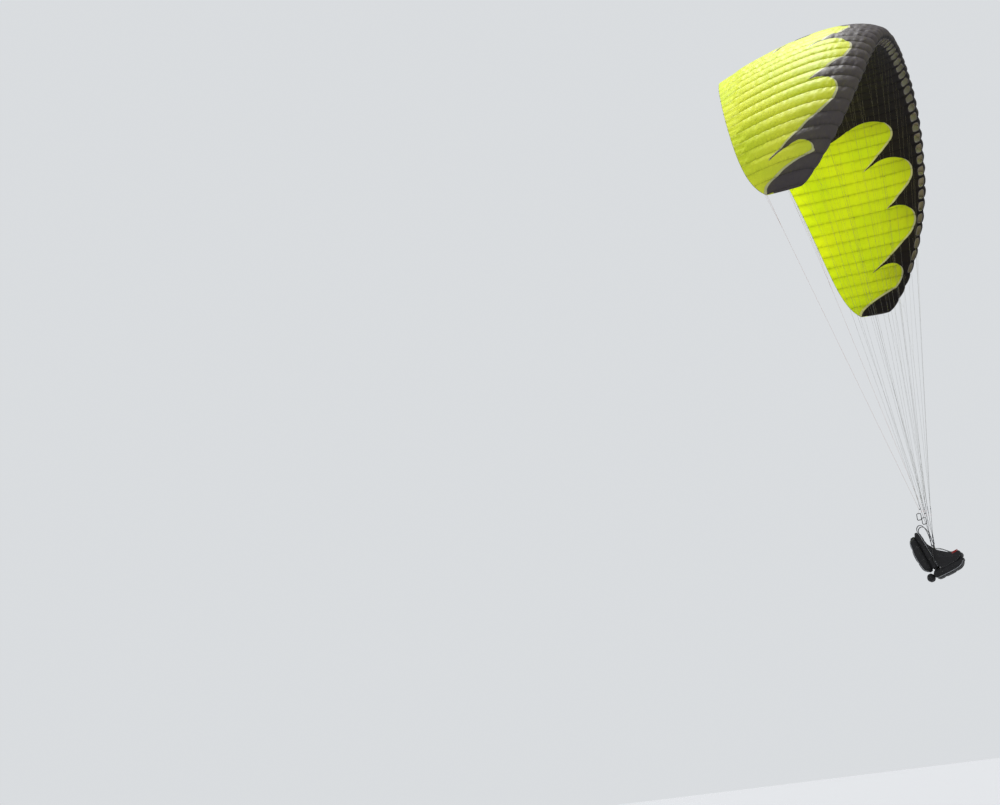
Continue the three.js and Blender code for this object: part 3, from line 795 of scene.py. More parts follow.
@dataclass(frozen=True)
class TumbledMetal(Finish):
    """Stainless steel, tumbled and polished, or aluminium, forged, tumbled and anodised."""

    # Tumbling gives soft bright edges with fine cloudy marks; use rubs the anodising paler.
    colour: str = "#C9CBCE"
    rubbed: str = "#8D8F92"
    roughness: float = 0.25

    def dress(self, add: Adder, spot: bpy.types.NodeSocket) -> bpy.types.NodeSocket:
        """Add the rubbed marks. See Finish.dress."""
        marks = add("TexNoise", {"Vector": spot, "Scale": 120.0, "Detail": 6.0})
        share = add("MapRange", (marks, 0.45, 0.7, 0.0, 0.4))
        colour = add("Mix", (share, self.colour, self.rubbed))
        rough = add("MapRange", (marks, 0.3, 0.7, self.roughness, self.roughness + 0.15))
        normal = add("Bump", {"Height": marks, "Distance": 0.0002, "Strength": 0.4})
        return add("BsdfPrincipled", {
            "Base Color": colour, "Metallic": 1.0, "Roughness": rough, "Normal": normal})


@dataclass(frozen=True)
class PaintedFloor(Finish):
    """Studio floor, rolled with matt emulsion paint."""

    # Flat paint gives an even pale ground with no reflection.
    colour: str = "#8B8C8E"

    def dress(self, add: Adder, spot: bpy.types.NodeSocket) -> bpy.types.NodeSocket:
        """Set the paint. See Finish.dress."""
        return add("BsdfPrincipled", {"Base Color": self.colour, "Roughness": 0.9})


class Finishes(Enum):
    """The finishes that the pieces take."""

    CANOPY = CanopyCloth("canopy_ripstop_coated")
    RIB = RibCloth("rib_ripstop_hard_coated")
    HEM = WovenTape("hem_tape_woven", "#625C59", "#77706C")
    EDGE = WovenTape("trailing_edge_tape_woven", "#3A3B2A", "#4C4D38")
    MAIN_LINE = BraidedSheath("main_line_braided", "#77766A")
    UPPER_LINE = BraidedSheath("upper_line_bare_braided", "#857F58")
    BRAKE_LINE = BraidedSheath("brake_line_braided", "#A8642A")
    WEBBING = WovenTape("riser_webbing_woven")
    STITCH = WovenTape("bar_tack_thread_sewn", "#8B8B86", "#B4B4AE", 0.0012)
    PACK = PackCloth("harness_pack_cloth_woven")
    MESH = SpacerMesh("harness_spacer_mesh_knitted")
    PIPING = WovenTape("harness_piping_woven", "#A7AAAE", "#C9CCD0", 0.0015)
    GRIP = WovenTape("reserve_handle_webbing_woven", "#7E1414", "#9A2020")
    STEEL = TumbledMetal("stainless_steel_polished", "#C9CBCE", "#8D8F92", 0.18)
    ALLOY = TumbledMetal("aluminium_anodised_grey", "#5A5D63", "#8D8F92", 0.3)
    PLASTIC = MouldedPolyamide("polyamide_moulded")
    FLOOR = PaintedFloor("studio_floor_painted")


# Canopy


@dataclass
class WingForm:
    """The outer form of the inflated wing, the same as in the solid model."""

    half_span: float = 5.85
    root_chord: float = 2.9
    tip_chord_share: float = 0.19
    arc: float = float(np.radians(82))
    arc_power: float = 1.15
    sweep: float = 0.8
    sweep_power: int = 4
    nose_up: float = float(np.radians(1.7))
    tip_nose_up: float = float(np.radians(4))
    thickness: float = 0.165
    camber: float = 0.03
    camber_place: float = 0.35
    edge_half: float = 0.006
    quarter: float = 0.25
    half_cells: float = 23.5
    cell_taper: float = 0.18
    steps: int = 400
    arc_table: Array = field(init=False)

    def __post_init__(self) -> None:
        """Lay the span out along its arc."""
        lean = self.arc * ((np.arange(1, self.steps + 1) - 0.5) / self.steps) ** self.arc_power
        turns = np.stack([np.cos(lean), -np.sin(lean)], -1) * (self.half_span / self.steps)
        self.arc_table = np.concatenate([[[0, 0]], np.cumsum(turns, 0)])

    def share(self, ribs: Array) -> Array:
        """Return the place along the half span, -1 to 1, of ribs counted from the middle."""
        t = np.abs(ribs) / self.half_cells
        return np.sign(ribs) * t * (1 + self.cell_taper - self.cell_taper * t)

    def cell_width(self, share: Array) -> Array:
        """Return the width of the cell at a place along the span."""
        plain = self.half_span / self.half_cells
        return plain * (1 + self.cell_taper - 2 * self.cell_taper * np.abs(share))

    def chord(self, share: Array) -> Array:
        """Return the chord at a place along the span."""
        return self.root_chord * np.sqrt(1 - (1 - self.tip_chord_share ** 2) * share ** 2)

    def outline(self, side: Array, at: Array) -> tuple[Array, Array]:
        """Return the rib's outline.

        Args:
            side: 1 for the top and -1 for the underside.
            at: Place along the chord from the nose, 0 to 1.

        Returns:
            The height over the chord line, in chords, and how fast it changes along the chord.
        """
        m, p = self.camber, self.camber_place
        front = m / p ** 2 * (2 * p * at - at ** 2)
        rear = m / (1 - p) ** 2 * (1 - 2 * p + 2 * p * at - at ** 2)
        half = 5 * self.thickness * (0.2969 * np.sqrt(at) - 0.126 * at - 0.3516 * at ** 2
                                     + 0.2843 * at ** 3 - 0.1036 * at ** 4)
        line = np.where(at < p, m / p ** 2, m / (1 - p) ** 2) * 2 * (p - at)
        bend = 5 * self.thickness * (0.14845 / np.sqrt(np.maximum(at, 1e-6)) - 0.126 - 0.7032 * at
                                     + 0.8529 * at ** 2 - 0.4144 * at ** 3)
        return np.where(at < p, front, rear) + side * half, line + side * bend

    def surface(self, ribs: Array, side: Array, at: Array, proud: Array | float = 0.0) -> Array:
        """Return points of the skin.

        Args:
            ribs: Places along the span, in ribs from the middle.
            side: 1 for the top and -1 for the underside.
            at: Places along the chord from the nose.
            proud: How far the skin stands out from the rib's outline.

        Returns:
            Points, with one more axis than the inputs.
        """
        ribs, side, at, proud = np.broadcast_arrays(
            *(np.asarray(v, float) for v in (ribs, side, at, proud)))
        share = self.share(ribs)
        s, way = np.abs(share), np.sign(share)
        lean = way * self.arc * s ** self.arc_power
        nose = self.nose_up + self.tip_nose_up * s ** 2
        marks = np.arange(self.steps + 1) / self.steps
        y, z = (np.interp(s, marks, axis) for axis in self.arc_table.T)
        z = z - self.outline(-1.0, np.array(self.quarter))[0] * self.root_chord
        centre = np.stack([-self.sweep * s ** self.sweep_power, way * y, z], -1)
        outward = np.stack([0 * s, np.sin(lean), np.cos(lean)], -1)
        cos, sin = np.cos(nose)[..., None], np.sin(nose)[..., None]
        height, bend = self.outline(side, at)
        size = np.sqrt(1 + bend ** 2) * np.where(side < 0, -1.0, 1.0)
        x = (self.quarter - at) * self.chord(share) + proud * bend / size
        h = height * self.chord(share) + side * self.edge_half * at + proud / size
        return (centre + (cos * AHEAD + sin * outward) * x[..., None]
                + (cos * outward - sin * AHEAD) * h[..., None])

    def along(self, rib: float) -> Array:
        """Return the direction along the span at a rib."""
        lean = np.sign(rib) * self.arc * abs(float(self.share(rib))) ** self.arc_power
        return np.array([0.0, np.cos(lean), -np.sin(lean)])


@dataclass(frozen=True)
class Tongue:
    """One rounded tongue of the colour pattern: a cone with round ends, on one half."""

    head: tuple[float, float]
    tail: tuple[float, float]
    head_radius: float
    tail_radius: float

    def depth(self, span: Array, behind: Array) -> Array:
        """Return how far inside the tongue points lie, in metres.

        Args:
            span: Distance from the middle along the span.
            behind: Distance behind the nose.

        Returns:
            Positive inside and negative outside.
        """
        head, tail = np.array(self.head), np.array(self.tail)
        run = tail - head
        off = np.stack([span - head[0], behind - head[1]], -1)
        t = np.clip(off @ run / (run @ run), 0, 1)
        radius = self.head_radius + (self.tail_radius - self.head_radius) * t
        return radius - np.linalg.norm(off - t[..., None] * run, axis=-1)


@dataclass
class ColourPattern:
    """Light tongues that reach forward from a light rear into a dark front."""

    form: WingForm
    first_head: float = 1.02
    top_shift: float = 0.25
    head_step: float = 1.06
    lean: float = 0.86
    radius: float = 0.42
    run: float = 0.62
    piping: float = 0.042
    tip_band: float = 0.5
    edge_band: float = 0.03
    # The piping is drawn widest where a tongue's edge faces this way, as a painted highlight.
    painted_highlight_facing: tuple[float, float] = (0.75, -0.66)
    low_reach: tuple[float, ...] = (0.56, 0.34, 0.27, 0.27, 0.36)
    top_reach: tuple[float, ...] = (0.44, 0.32, 0.28, 0.31, 0.42)
    low_rear: float = 0.80
    top_rear: float = 0.66

    def tongues(self, top: bool) -> list[Tongue]:
        """Return the tongues of one surface.

        Args:
            top: True for the top.

        Returns:
            The tongues, from the middle outwards.
        """
        found = []
        for i, reach in enumerate(self.top_reach if top else self.low_reach):
            span = self.first_head + self.head_step * i + self.top_shift * top
            chord = float(self.form.chord(np.array(min(span / self.form.half_span, 0.99))))
            size = self.radius * (0.66 + 0.34 * np.sin(np.pi * (i + 1) / 5.6))
            run = self.run * chord
            found.append(Tongue((span, reach * chord), (span + self.lean * run, reach * chord + run),
                                size, size + 0.2 * run))
        return found

    def depth(self, ribs: Array, side: Array, at: Array) -> Array:
        """Return how far inside the light cloth points lie, in metres.

        Args:
            ribs: Places along the span.
            side: 1 for the top and -1 for the underside.
            at: Places along the chord.

        Returns:
            Positive in the light cloth and negative in the dark.
        """
        share = self.form.share(ribs)
        span, chord = np.abs(share) * self.form.half_span, self.form.chord(share)
        behind = at * chord
        low = behind - chord * self.low_rear
        # A broad light field fills the middle of the top behind the dark nose band.
        field_depth = behind - 0.34 * chord
        top = np.maximum(behind - chord * self.top_rear,
                         np.minimum(field_depth, 1.15 + 0.3 * field_depth - span))
        tip = self.form.half_span - self.edge_band - span - self.tip_band * (1 - at)
        both = [np.minimum(np.maximum.reduce([rear, *(t.depth(span, behind) for t in tongues)]), tip)
                for rear, tongues in ((low, self.tongues(False)), (top, self.tongues(True)))]
        return np.where(side > 0, both[1], both[0])

    def trim(self, ribs: Array, side: Array, at: Array) -> Array:
        """Return how wide the pale piping is drawn at points, in metres, widest where a tongue's edge
        faces one set way, as a painted highlight.

        Args:
            ribs: Places along the span.
            side: 1 for the top and -1 for the underside.
            at: Places along the chord.

        Returns:
            The width for each point.
        """
        step = 0.004
        here = self.depth(ribs, side, at)
        share = np.maximum(np.abs(self.form.share(ribs)), 0.02)
        along = (self.depth(ribs * (1 + step / share), side, at) - here) / (
            step * self.form.half_span)
        behind = (self.depth(ribs, side, np.minimum(at + step, 1)) - here) / (
            step * self.form.chord(share))
        way = unit(np.stack([-along, -behind], -1))
        return self.piping * np.clip(way @ np.array(self.painted_highlight_facing), 0, 1) ** 0.7


@dataclass
class CanopySection:
    """A run of cells with its ribs, hems and tabs, made as one sewn piece.

    Mouth columns and rows are counted within a cell and from the underside's first row.
    """

    form: WingForm
    pattern: ColourPattern
    tab_rows: dict[float, list[float]]
    name: str
    first: float
    last: float
    side: Side = Side.LEFT
    top_rows: int = 132
    low_rows: int = 104
    top_bulge: float = 0.120
    low_bulge: float = 0.074
    pucker: float = 0.0066
    pucker_reach: float = 0.032
    ripples: tuple[float, ...] = (0.097, 0.141, 0.213)
    fullness: float = 1.035
    rib_inset: float = 0.003
    open_cells: int = 20
    mouth_columns: tuple[int, int] = (3, 11)
    mouth_rows: tuple[int, int] = (2, 9)
    mouth_half: float = 0.38
    cell_steps: tuple[float, ...] = (0, .035, .075, .12, .2, .3, .4, .5, .6, .7, .8, .88, .925, .965)
    ports: tuple[tuple[float, float], ...] = (
        (0.10, 0.17), (0.21, 0.29), (0.34, 0.43), (0.48, 0.57), (0.62, 0.70))
    port_half: float = 0.28
    tab_half: float = 0.007
    skin_shape: Shape = field(default_factory=Shape)

    def rows(self) -> tuple[Array, Array]:
        """Lay out the skin's rows, tail to nose over the top and back.

        Returns:
            The side and the chord place of each row.
        """
        k = np.linspace(0, 1, self.top_rows)
        top = 0.4 * k + 0.6 * (1 - np.cos(np.pi * k)) / 2
        nose = [0.003, 0.0065, 0.010, 0.0135, 0.0175, 0.022, 0.0275, 0.0335, 0.042, 0.050]
        k = np.linspace(0, 1, self.low_rows)[1:]
        low = [*nose, *(0.050 + 0.950 * (0.45 * k + 0.55 * (1 - np.cos(np.pi * k)) / 2))]
        return np.repeat([1.0, -1.0], [len(top), len(low)]), np.array([*top[::-1], *low])

    def columns(self) -> Array:
        """Return the span places of the columns, in ribs from the middle."""
        cells = self.first + np.arange(round(self.last - self.first))[:, None]
        return self.side.value * np.append((cells + np.array(self.cell_steps)).ravel(), self.last)

    def is_open(self, ribs: Array) -> Array:
        """Return True where the cell has an intake mouth."""
        return np.abs(np.round(ribs)) <= self.open_cells

    def proud(self, ribs: Array, side: Array, at: Array) -> Array:
        """Return how far the skin stands out of the ribs' outline, in metres.

        Args:
            ribs: Span places.
            side: 1 for the top and -1 for the underside.
            at: Chord places.

        Returns:
            The distance for each point.
        """
        share = self.form.share(ribs)
        width, chord = self.form.cell_width(share), self.form.chord(share)
        within = np.mod(np.abs(ribs) + 0.5, 1.0)
        half = np.mod(2 * within, 1.0)
        arch, tuck = (np.clip(4 * t * (1 - t), 0, 1) ** 0.8 for t in (within, half))
        rear = smooth((at - 0.85) / 0.08)
        cell = np.floor(np.abs(ribs) + 0.5)
        lively = 1 + 0.10 * np.sin(cell * 2.3 + self.side.value) * np.sin(at * 5 + cell)
        full = np.where(side < 0, self.low_bulge, self.top_bulge) * lively
        puff = full * np.minimum(1, (1 - at) * 6) * width * (arch * (1 - rear) + 0.55 * tuck * rear)
        # The skin goes in and out along each rib seam, differently at every seam.
        length = at * chord + np.where(side > 0, 7.0, 0.0)
        near = np.minimum(within, 1 - within) * width
        seam = np.where(within < 0.5, cell, cell + 1) * np.where(ribs < 0, -1, 1)
        wave = 0.0
        for k, size in enumerate(self.ripples):
            phase = 2.4 * np.sin(seam * (3.1 + k) + 5.7 * k) * np.pi
            bend = 0.6 * np.sin(2 * np.pi * length / (size * 4.7) + phase)
            wave += np.cos(2 * np.pi * length / size + phase + bend) / len(self.ripples)
        nose = 1 + 0.7 * np.exp(-((at - 0.04) / 0.05) ** 2)
        beside = near / self.pucker_reach * np.exp(1 - near / self.pucker_reach)
        ripple = self.pucker * nose * np.minimum(1, chord / 2) * wave * beside
        edge = 0.0035 * np.sin(4 * np.pi * within) * smooth((at - 0.9) / 0.1) * side
        slow = 0.0035 * np.sin(length * 3.1 + ribs * 1.7) * np.sin(ribs * 0.9 + 1.3) * arch
        return puff + (ripple + slow) * np.minimum(1, (1 - at) * 12) + edge * (at < 1)

    def places(self, columns: Array, at: Array) -> tuple[Array, Array]:
        """Lay out the skin's points, with the corners of the intake mouths rounded.

        Args:
            columns: The span place of each column.
            at: The chord place of each row.

        Returns:
            The span and chord places by column and row.
        """
        ribs, all_at = np.meshgrid(columns, at, indexing="ij")
        rows = np.arange(len(at)) - self.top_rows
        middle, half = sum(self.mouth_rows) / 2, np.ptp(self.mouth_rows) / 2
        cell = np.round(ribs)
        a, b = (ribs - cell) / self.mouth_half, (rows - middle) / half + 0 * ribs
        size = np.where(self.is_open(ribs) & (rows >= -2), squared(a, b, 3.2, 1.3), 1.0)
        moved = np.interp(b * size * half + middle, rows, at)
        return cell + a * size * self.mouth_half, np.where(rows > -2, moved, all_at)

    def skin(self) -> None:
        """Add the top, the underside and the trailing edge of the skin, and the mouths' hems."""
        side, at = self.rows()
        columns = self.columns()
        ribs, at = self.places(columns, at)
        side = side + 0 * at
        points = self.form.surface(ribs, side, at, self.proud(ribs, side, at))
        count, many = at.shape
        faces = grid(count, many).reshape(count - 1, many - 1, 4)
        (left, right), (low, high) = self.mouth_columns, np.add(self.mouth_rows, self.top_rows)
        steps = len(self.cell_steps)
        middles = (columns[1:] + columns[:-1]) / 2
        within = np.arange(count - 1) % steps
        mouth = self.is_open(middles) & (within >= left) & (within < right)
        keep = np.ones(faces.shape[:2], bool)
        keep[mouth, low:high] = False
        turn = self.side.value
        self.skin_shape.add(
            points, faces[keep][:, ::turn], 0, cell=np.abs(ribs), reach=at, top=side > 0,
            tongue=self.pattern.depth(ribs, side, at), trim=self.pattern.trim(ribs, side, at))
        edge = points[:, [0, 0, -1]]
        edge[:, 1] = (points[:, 0] + points[:, -1]) / 2 - AHEAD * 0.004
        self.skin_shape.add(edge, grid(count, 3)[:, ::turn], 2)
        # A corded hem runs round each intake mouth.
        for start in range(0, count - 1, steps):
            if self.is_open(middles[start + steps // 2]):
                a, b = start + left, start + right
                loop = ([(i, low) for i in range(a, b)] + [(b, j) for j in range(low, high)]
                        + [(i, high) for i in range(b, a, -1)] + [(a, j) for j in range(high, low, -1)])
                path = np.array([points[spot] for spot in loop])
                outward = unit(path.mean(0) - points[a:b, self.top_rows + 60].mean(0))
                self.skin_shape.sweep(path, round_profile(0.0045, 6), outward, True, 1)

    def ribs(self, label: str) -> bpy.types.Object:
        """Make the ribs inside, each with a row of oval ports that let air pass.

        Args:
            label: The start of the piece's name.

        Returns:
            The piece.
        """
        part = np.array([0, 0.35, 0.7, 1.3, 1.65, 2.0])
        at = [0.004, 0.016, 0.035, 0.06]
        marks = len(at) + len(part) * np.arange(len(self.ports))
        for low, high in self.ports:
            at += list(low + (high - low) * part / 2)
        at = np.array([*at, 0.74, 0.77, 0.80, 0.83, 0.86, 0.89, 0.92, 0.95, 0.98])
        rise = np.array([0.0, 0.14, 0.22, 0.36, 0.64, 0.78, 0.86, 1.0])
        u, v = np.meshgrid(at, rise, indexing="ij")
        faces = grid(len(at), len(rise)).reshape(len(at) - 1, len(rise) - 1, 4)
        keep = np.ones(faces.shape[:2], bool)
        for mark in marks:
            keep[mark:mark + 5, 2:5] = False
            centre, half = (at[mark] + at[mark + 5]) / 2, (at[mark + 5] - at[mark]) / 2
            a, b = (u - centre) / half, (v - 0.5) / self.port_half
            size, ours = squared(a, b, 2.3, 1.22), np.abs(a) < 1.3
            u = np.where(ours, centre + a * size * half, u)
            v = np.where(ours, 0.5 + b * size * self.port_half, v)
        inset = -self.rib_inset * np.minimum(1, (1 - u) * 10)
        shape, sizes = Shape(), []
        for rib in np.arange(self.first, self.last + 0.5):
            if (rib == self.first and self.first > 0) or rib == self.form.half_cells:
                continue
            low, high = (self.form.surface(self.side.value * rib, way, u, inset) for way in (-1, 1))
            points = low + (high - low) * v[..., None]
            shape.add(points, faces[keep])
            sizes.append((self.form.chord(self.form.share(rib)),
                          np.linalg.norm(points[:, -1] - points[:, 0], axis=-1).max()))
        piece = shape.build(f"{label}_ribs", "canopy_cloth", "", [Finishes.RIB])
        # The ribs are cut side by side from one strip as long as the longest. A rib fills two
        # thirds of its box, and its ports take a seventh of that.
        chords, heights = np.array(sizes).T
        return piece

    def tip_face(self) -> None:
        """Close the wing's end with a slightly domed panel."""
        at = 0.002 + 0.998 * np.linspace(0, 1, 40) ** 1.5
        rise = np.linspace(0, 1, 9)
        rib = self.side.value * self.last
        low, high = (self.form.surface(rib, way, at)[:, None] for way in (-1, 1))
        dome = 0.16 * np.linalg.norm(high - low, axis=-1) * 4 * rise * (1 - rise)
        points = (low + (high - low) * rise[None, :, None]
                  + self.form.along(rib) * self.side.value * dome[..., None])
        light, plain = np.repeat(0.5 * at - 0.4, len(rise)), np.ones(points[..., 0].size)
        self.skin_shape.add(points, grid(len(at), len(rise)), 0, tongue=light, cell=5 * plain,
                            reach=0.25 * plain, top=plain)

    def tabs(self) -> None:
        """Add the sewn loops that take the lines."""
        last = self.last + (self.name == "tip")
        turn = np.linspace(0, np.pi, 7)[:, None]
        for at, ribs in self.tab_rows.items():
            for rib in (sign * rib for rib in ribs if self.first <= rib < last
                        for sign in ((-1, 1) if self.first < 0 else (self.side.value,))):
                top = self.form.surface(rib, -1, at)
                pull = unit(Side(int(np.sign(rib))).of(HANG) - top)
                foot = AHEAD * self.tab_half
                path = np.concatenate([
                    [top + foot - pull * 0.006],
                    top + pull * (0.010 + 0.012 * np.sin(turn)) + foot * np.cos(turn),
                    [top - foot - pull * 0.006]])
                self.skin_shape.sweep(path, band_profile(0.010, 0.0016),
                                      unit(np.cross(pull, AHEAD)), finish=2)

    def blend(self, piece: bpy.types.Object) -> None:
        """Set the centre and tip runs on the wing. For the others, work out the trailing edge's bend
        towards the brake panel and bake the piece's transform.

        Args:
            piece: The finished piece.
        """
        front, depth = -1.15, 0.5
        slope = np.array([-1.0 / depth, 0, 0])
        level = front / depth
        if self.name in ("center", "tip"):
            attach(piece, "wing")
            return
        # Next to the panel, the bend is also worked out to fade along the span, from its border to a
        # free rib.
        borders = {"inner": (8.5, 4.6), "outer": (16.5, 20.3)}
        if self.name in borders:
            border, free = (self.side.value * rib for rib in borders[self.name])
            point, along = self.form.surface(border, -1, 0.5), self.form.along(border)
            far = self.form.surface(free, -1, 1.0)
            across = float((far - point) @ along)
            steep = (slope @ far + level) / abs(across)
            direction = along * np.sign(across)
            slope = slope - steep * direction
            level = level + steep * (direction @ point)
        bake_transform(piece)

    def build(self) -> None:
        """Make the section's skin and ribs, and set the centre and tip runs on the wing."""
        label = f"canopy_{self.name}" if self.first < 0 else f"{self.side}_canopy_{self.name}"
        nodes = [label, f"{self.side}_brake_panel"] if self.name == "middle" else [label]
        ribs = self.ribs(label)
        self.skin()
        if self.last == self.form.half_cells:
            self.tip_face()
        self.tabs()
        skin = self.skin_shape.build(f"{label}_cloth", "canopy_cloth", "",
                                     [Finishes.CANOPY, Finishes.HEM, Finishes.EDGE], *nodes)
        # Each cell's panels are cut wider than the rib spacing, so that air can round them.
        cells = np.arange(self.first, self.last) + 0.5
        widths = self.fullness * self.form.cell_width(self.form.share(cells))
        rounds = np.diff(self.form.surface(cells[:, None], *self.rows()), axis=1)
        for piece in (skin, ribs):
            self.blend(piece)


@dataclass
class Canopy:
    """The whole canopy: a middle run and four runs on each half."""

    form: WingForm
    tab_rows: dict[float, list[float]]
    middle: tuple[str, float, float] = ("center", -3.5, 3.5)
    runs: tuple[tuple[str, float, float], ...] = (
        ("inner", 3.5, 8.5), ("middle", 8.5, 16.5), ("outer", 16.5, 20.5), ("tip", 20.5, 23.5))

    def build(self) -> None:
        """Make every section."""
        shared = (self.form, ColourPattern(self.form), self.tab_rows)
        CanopySection(*shared, *self.middle).build()
        for side in Side:
            for run in self.runs:
                CanopySection(*shared, *run, side).build()


# Lines, risers and brakes


@dataclass(frozen=True)
class LineRow:
    """One row of lines: where it meets the wing and which ribs each main line feeds."""

    name: str
    at: float
    mains: tuple[tuple[float, ...], ...]
    link_x: float
    foot_x: float

    def tab_ribs(self) -> list[float]:
        """Return the ribs that carry a tab: one on each side of every strand's rib."""
        return [rib + step for ribs in self.mains for rib in ribs for step in (-1, 1)]


LINE_ROWS = (
    LineRow("a", 0.075, ((1.5, 4.5), (7.5, 10.5), (13.5, 16.5), (19.5, 21.5)), 0.034, 0.0045),
    LineRow("b", 0.3, ((1.5, 4.5), (7.5, 10.5), (13.5, 16.5), (19.5, 22.5)), -0.014, 0.0),
    LineRow("c", 0.6, ((1.5, 4.5), (7.5, 10.5), (13.5, 17.5)), -0.065, -0.0045),
)
BRAKE_GROUPS = ((8.5, 9.5, 10.5), (11.5, 12.5, 13.5), (14.5, 15.5, 16.5))


@dataclass
class Rigging:
    """Lines, risers and brake of one side."""

    side: Side
    form: WingForm
    riser_lean: float = float(np.radians(13))
    riser_foot: float = 0.064
    riser_top: float = 0.5
    riser_width: float = 0.018
    web_thick: float = 0.0024
    link_height: float = 0.036
    link_width: float = 0.034
    link_bar: float = 0.0045
    insert_height: float = 0.53805
    insert_step: float = 0.0055
    fork_share: float = 0.6
    second_fork: float = 0.72
    tab_reach: float = 0.021
    main_radius: float = 0.0011
    upper_radius: float = 0.0007
    brake_share: float = 0.7
    brake_fork: float = 0.55
    brake_tops: tuple[float, ...] = (10.5, 12.5, 14.5)
    pulley_up: float = 0.430
    pulley_radius: float = 0.010
    groove: float = 0.0080
    handle_x: float = -0.1
    handle_up: float = 0.3
    hinge_point: tuple[float, float, float] = (-1.4, 2.30435, -0.56675)
    hinge_axis: tuple[float, float, float] = (0.0, -0.732251, 0.681035)
    panel_angle: float = float(np.radians(45))
    fan_travel: float = 0.43506

    def leaned(self, points: Array | list) -> Array:
        """Return points of an upright riser, leaned outwards on its hang point.

        Args:
            points: Relative to the hang point.

        Returns:
            The points in the row frame, on this half.
        """
        cos, sin = np.cos(self.riser_lean), np.sin(self.riser_lean)
        x, y, z = np.moveaxis(np.asarray(points, float), -1, 0)
        return self.side.of(HANG + np.stack([x, y * cos + z * sin, z * cos - y * sin], -1))

    def lean_way(self, way: Array) -> Array:
        """Return a direction of an upright riser, leaned outwards."""
        return self.leaned(way) - self.leaned(np.zeros(3))

    def top(self, rib: float, at: float = 1.0) -> Array:
        """Return where a line's loop meets the skin."""
        return self.form.surface(self.side.value * rib, -1, at)

    def cord(self, shape: Shape, low: Array, high: Array, radius: float, finish: int,
             splice: float = 0.07) -> None:
        """Add a taut cord with a thicker sewn splice at each end.

        Args:
            shape: The piece that is being made.
            low: Its lower end.
            high: Its upper end.
            radius: Its radius.
            finish: Its material.
            splice: The length of a splice.
        """
        ends = np.array([0, 0.004, splice, splice + 0.006]) / np.linalg.norm(high - low)
        share = np.concatenate([ends, 1 - ends[::-1]])[:, None]
        thick = np.array([0.9, 1.45, 1.35, 1.0])
        shape.sweep(low + (high - low) * share, round_profile(radius, 6),
                    np.array([1.0, 0.3, 0]), finish=finish, scale=np.append(thick, thick[::-1]))

    def tree(self, row: LineRow) -> None:
        """Make one row's lines with the insert that spaces them on the link.

        Args:
            row: The row.
        """
        shape = Shape()
        bar = self.riser_top + self.link_height - self.link_bar
        places = self.insert_step * (np.arange(len(row.mains)) - (len(row.mains) - 1) / 2)
        turn = np.linspace(0.25, 2 * np.pi - 0.25, 14)
        for across, ribs in zip(places, row.mains):
            start = self.leaned([row.link_x, across, self.insert_height + 0.004])
            tops = np.array([self.top(rib, row.at) for rib in ribs])
            fork = start + (tops.mean(0) - start) * self.fork_share
            self.cord(shape, start, fork, self.main_radius, 0, 0.10)
            loop = np.stack([row.link_x + 0.0048 * np.sin(turn), across + 0 * turn,
                             bar + 0.0048 * np.cos(turn)], -1)
            shape.sweep(self.leaned(loop), round_profile(self.main_radius, 6),
                        self.lean_way(ACROSS))
            for rib, top in zip(ribs, tops):
                knee = fork + (top - fork) * self.second_fork
                self.cord(shape, fork, knee, self.upper_radius, 1)
                for step in (-1, 1):
                    tab = self.top(rib + step, row.at)
                    self.cord(shape, knee, tab + unit(knee - tab) * self.tab_reach,
                              self.upper_radius * 0.9, 1, 0.05)
        # A soft insert with a groove for each line.
        for across in [places[0] - self.insert_step, *places]:
            spot = np.array([row.link_x, across + self.insert_step / 2, bar])
            shape.sweep(self.leaned([spot - UP * 0.006, spot + UP * 0.007]),
                        band_profile(0.009, 0.0017), self.lean_way(AHEAD), finish=2)
        shape.build(f"{self.side}_{row.name}_line_tree", "sheathed_line", "wing",
                    [Finishes.MAIN_LINE, Finishes.UPPER_LINE, Finishes.PLASTIC],
                    f"{self.side}_{row.name}_lines")

    def bar_tack(self, shape: Shape, low: Array, high: Array, out: Array, width: float) -> None:
        """Sew a dense patch of zigzag thread on a leaned strap.

        Args:
            shape: The piece that is being made.
            low: The patch's lower middle.
            high: The patch's upper middle.
            out: The direction away from the webbing.
            width: The patch's width.
        """
        low, high = self.leaned(low), self.leaned(high)
        count = max(int(np.linalg.norm(high - low) / 0.0016), 3)
        spots = np.linspace(low, high, count) + self.lean_way(out) * 0.0003
        reach = self.lean_way(ACROSS) * width / 2 + (high - low) / count * 0.5
        shape.threads(spots, reach, 1, 0.00045)

    def riser(self, row: LineRow) -> None:
        """Make one riser strap: webbing folded round the link and sewn back on itself.

        Args:
            row: The row of lines that it carries.
        """
        shape = Shape()
        foot = np.array([row.foot_x, 0, self.riser_foot - 0.004])
        head = np.array([row.link_x, 0, self.riser_top])
        up = unit(head - foot)
        face = np.array([up[2], 0, -up[0]])
        turn = np.linspace(-0.5 * np.pi - 0.35, 1.5 * np.pi - 0.75, 26)[:, None]
        ring = head + 0.0051 * (np.cos(turn) * face + np.sin(turn) * up)
        back = head - up * np.linspace(0.011, 0.078, 6)[:, None] + face * 0.0026
        strap = np.linspace(foot, head - up * 0.008 - face * 0.0001, 12)
        across = self.lean_way(ACROSS)
        for path in ([*strap, *ring[4:]], [*ring[-2:], *back]):
            shape.sweep(self.leaned(path), band_profile(self.riser_width, self.web_thick), across)
        for place in (0.020, 0.062):
            spot = head - up * place + face * 0.0040
            self.bar_tack(shape, spot - up * 0.006, spot + up * 0.006, face, 0.013)
        for edge in (-0.0072, 0.0072):
            for sign in (-1, 1):
                shape.stitch(self.leaned(strap[1:-1] + face * sign * 0.0013 + ACROSS * edge), 1)
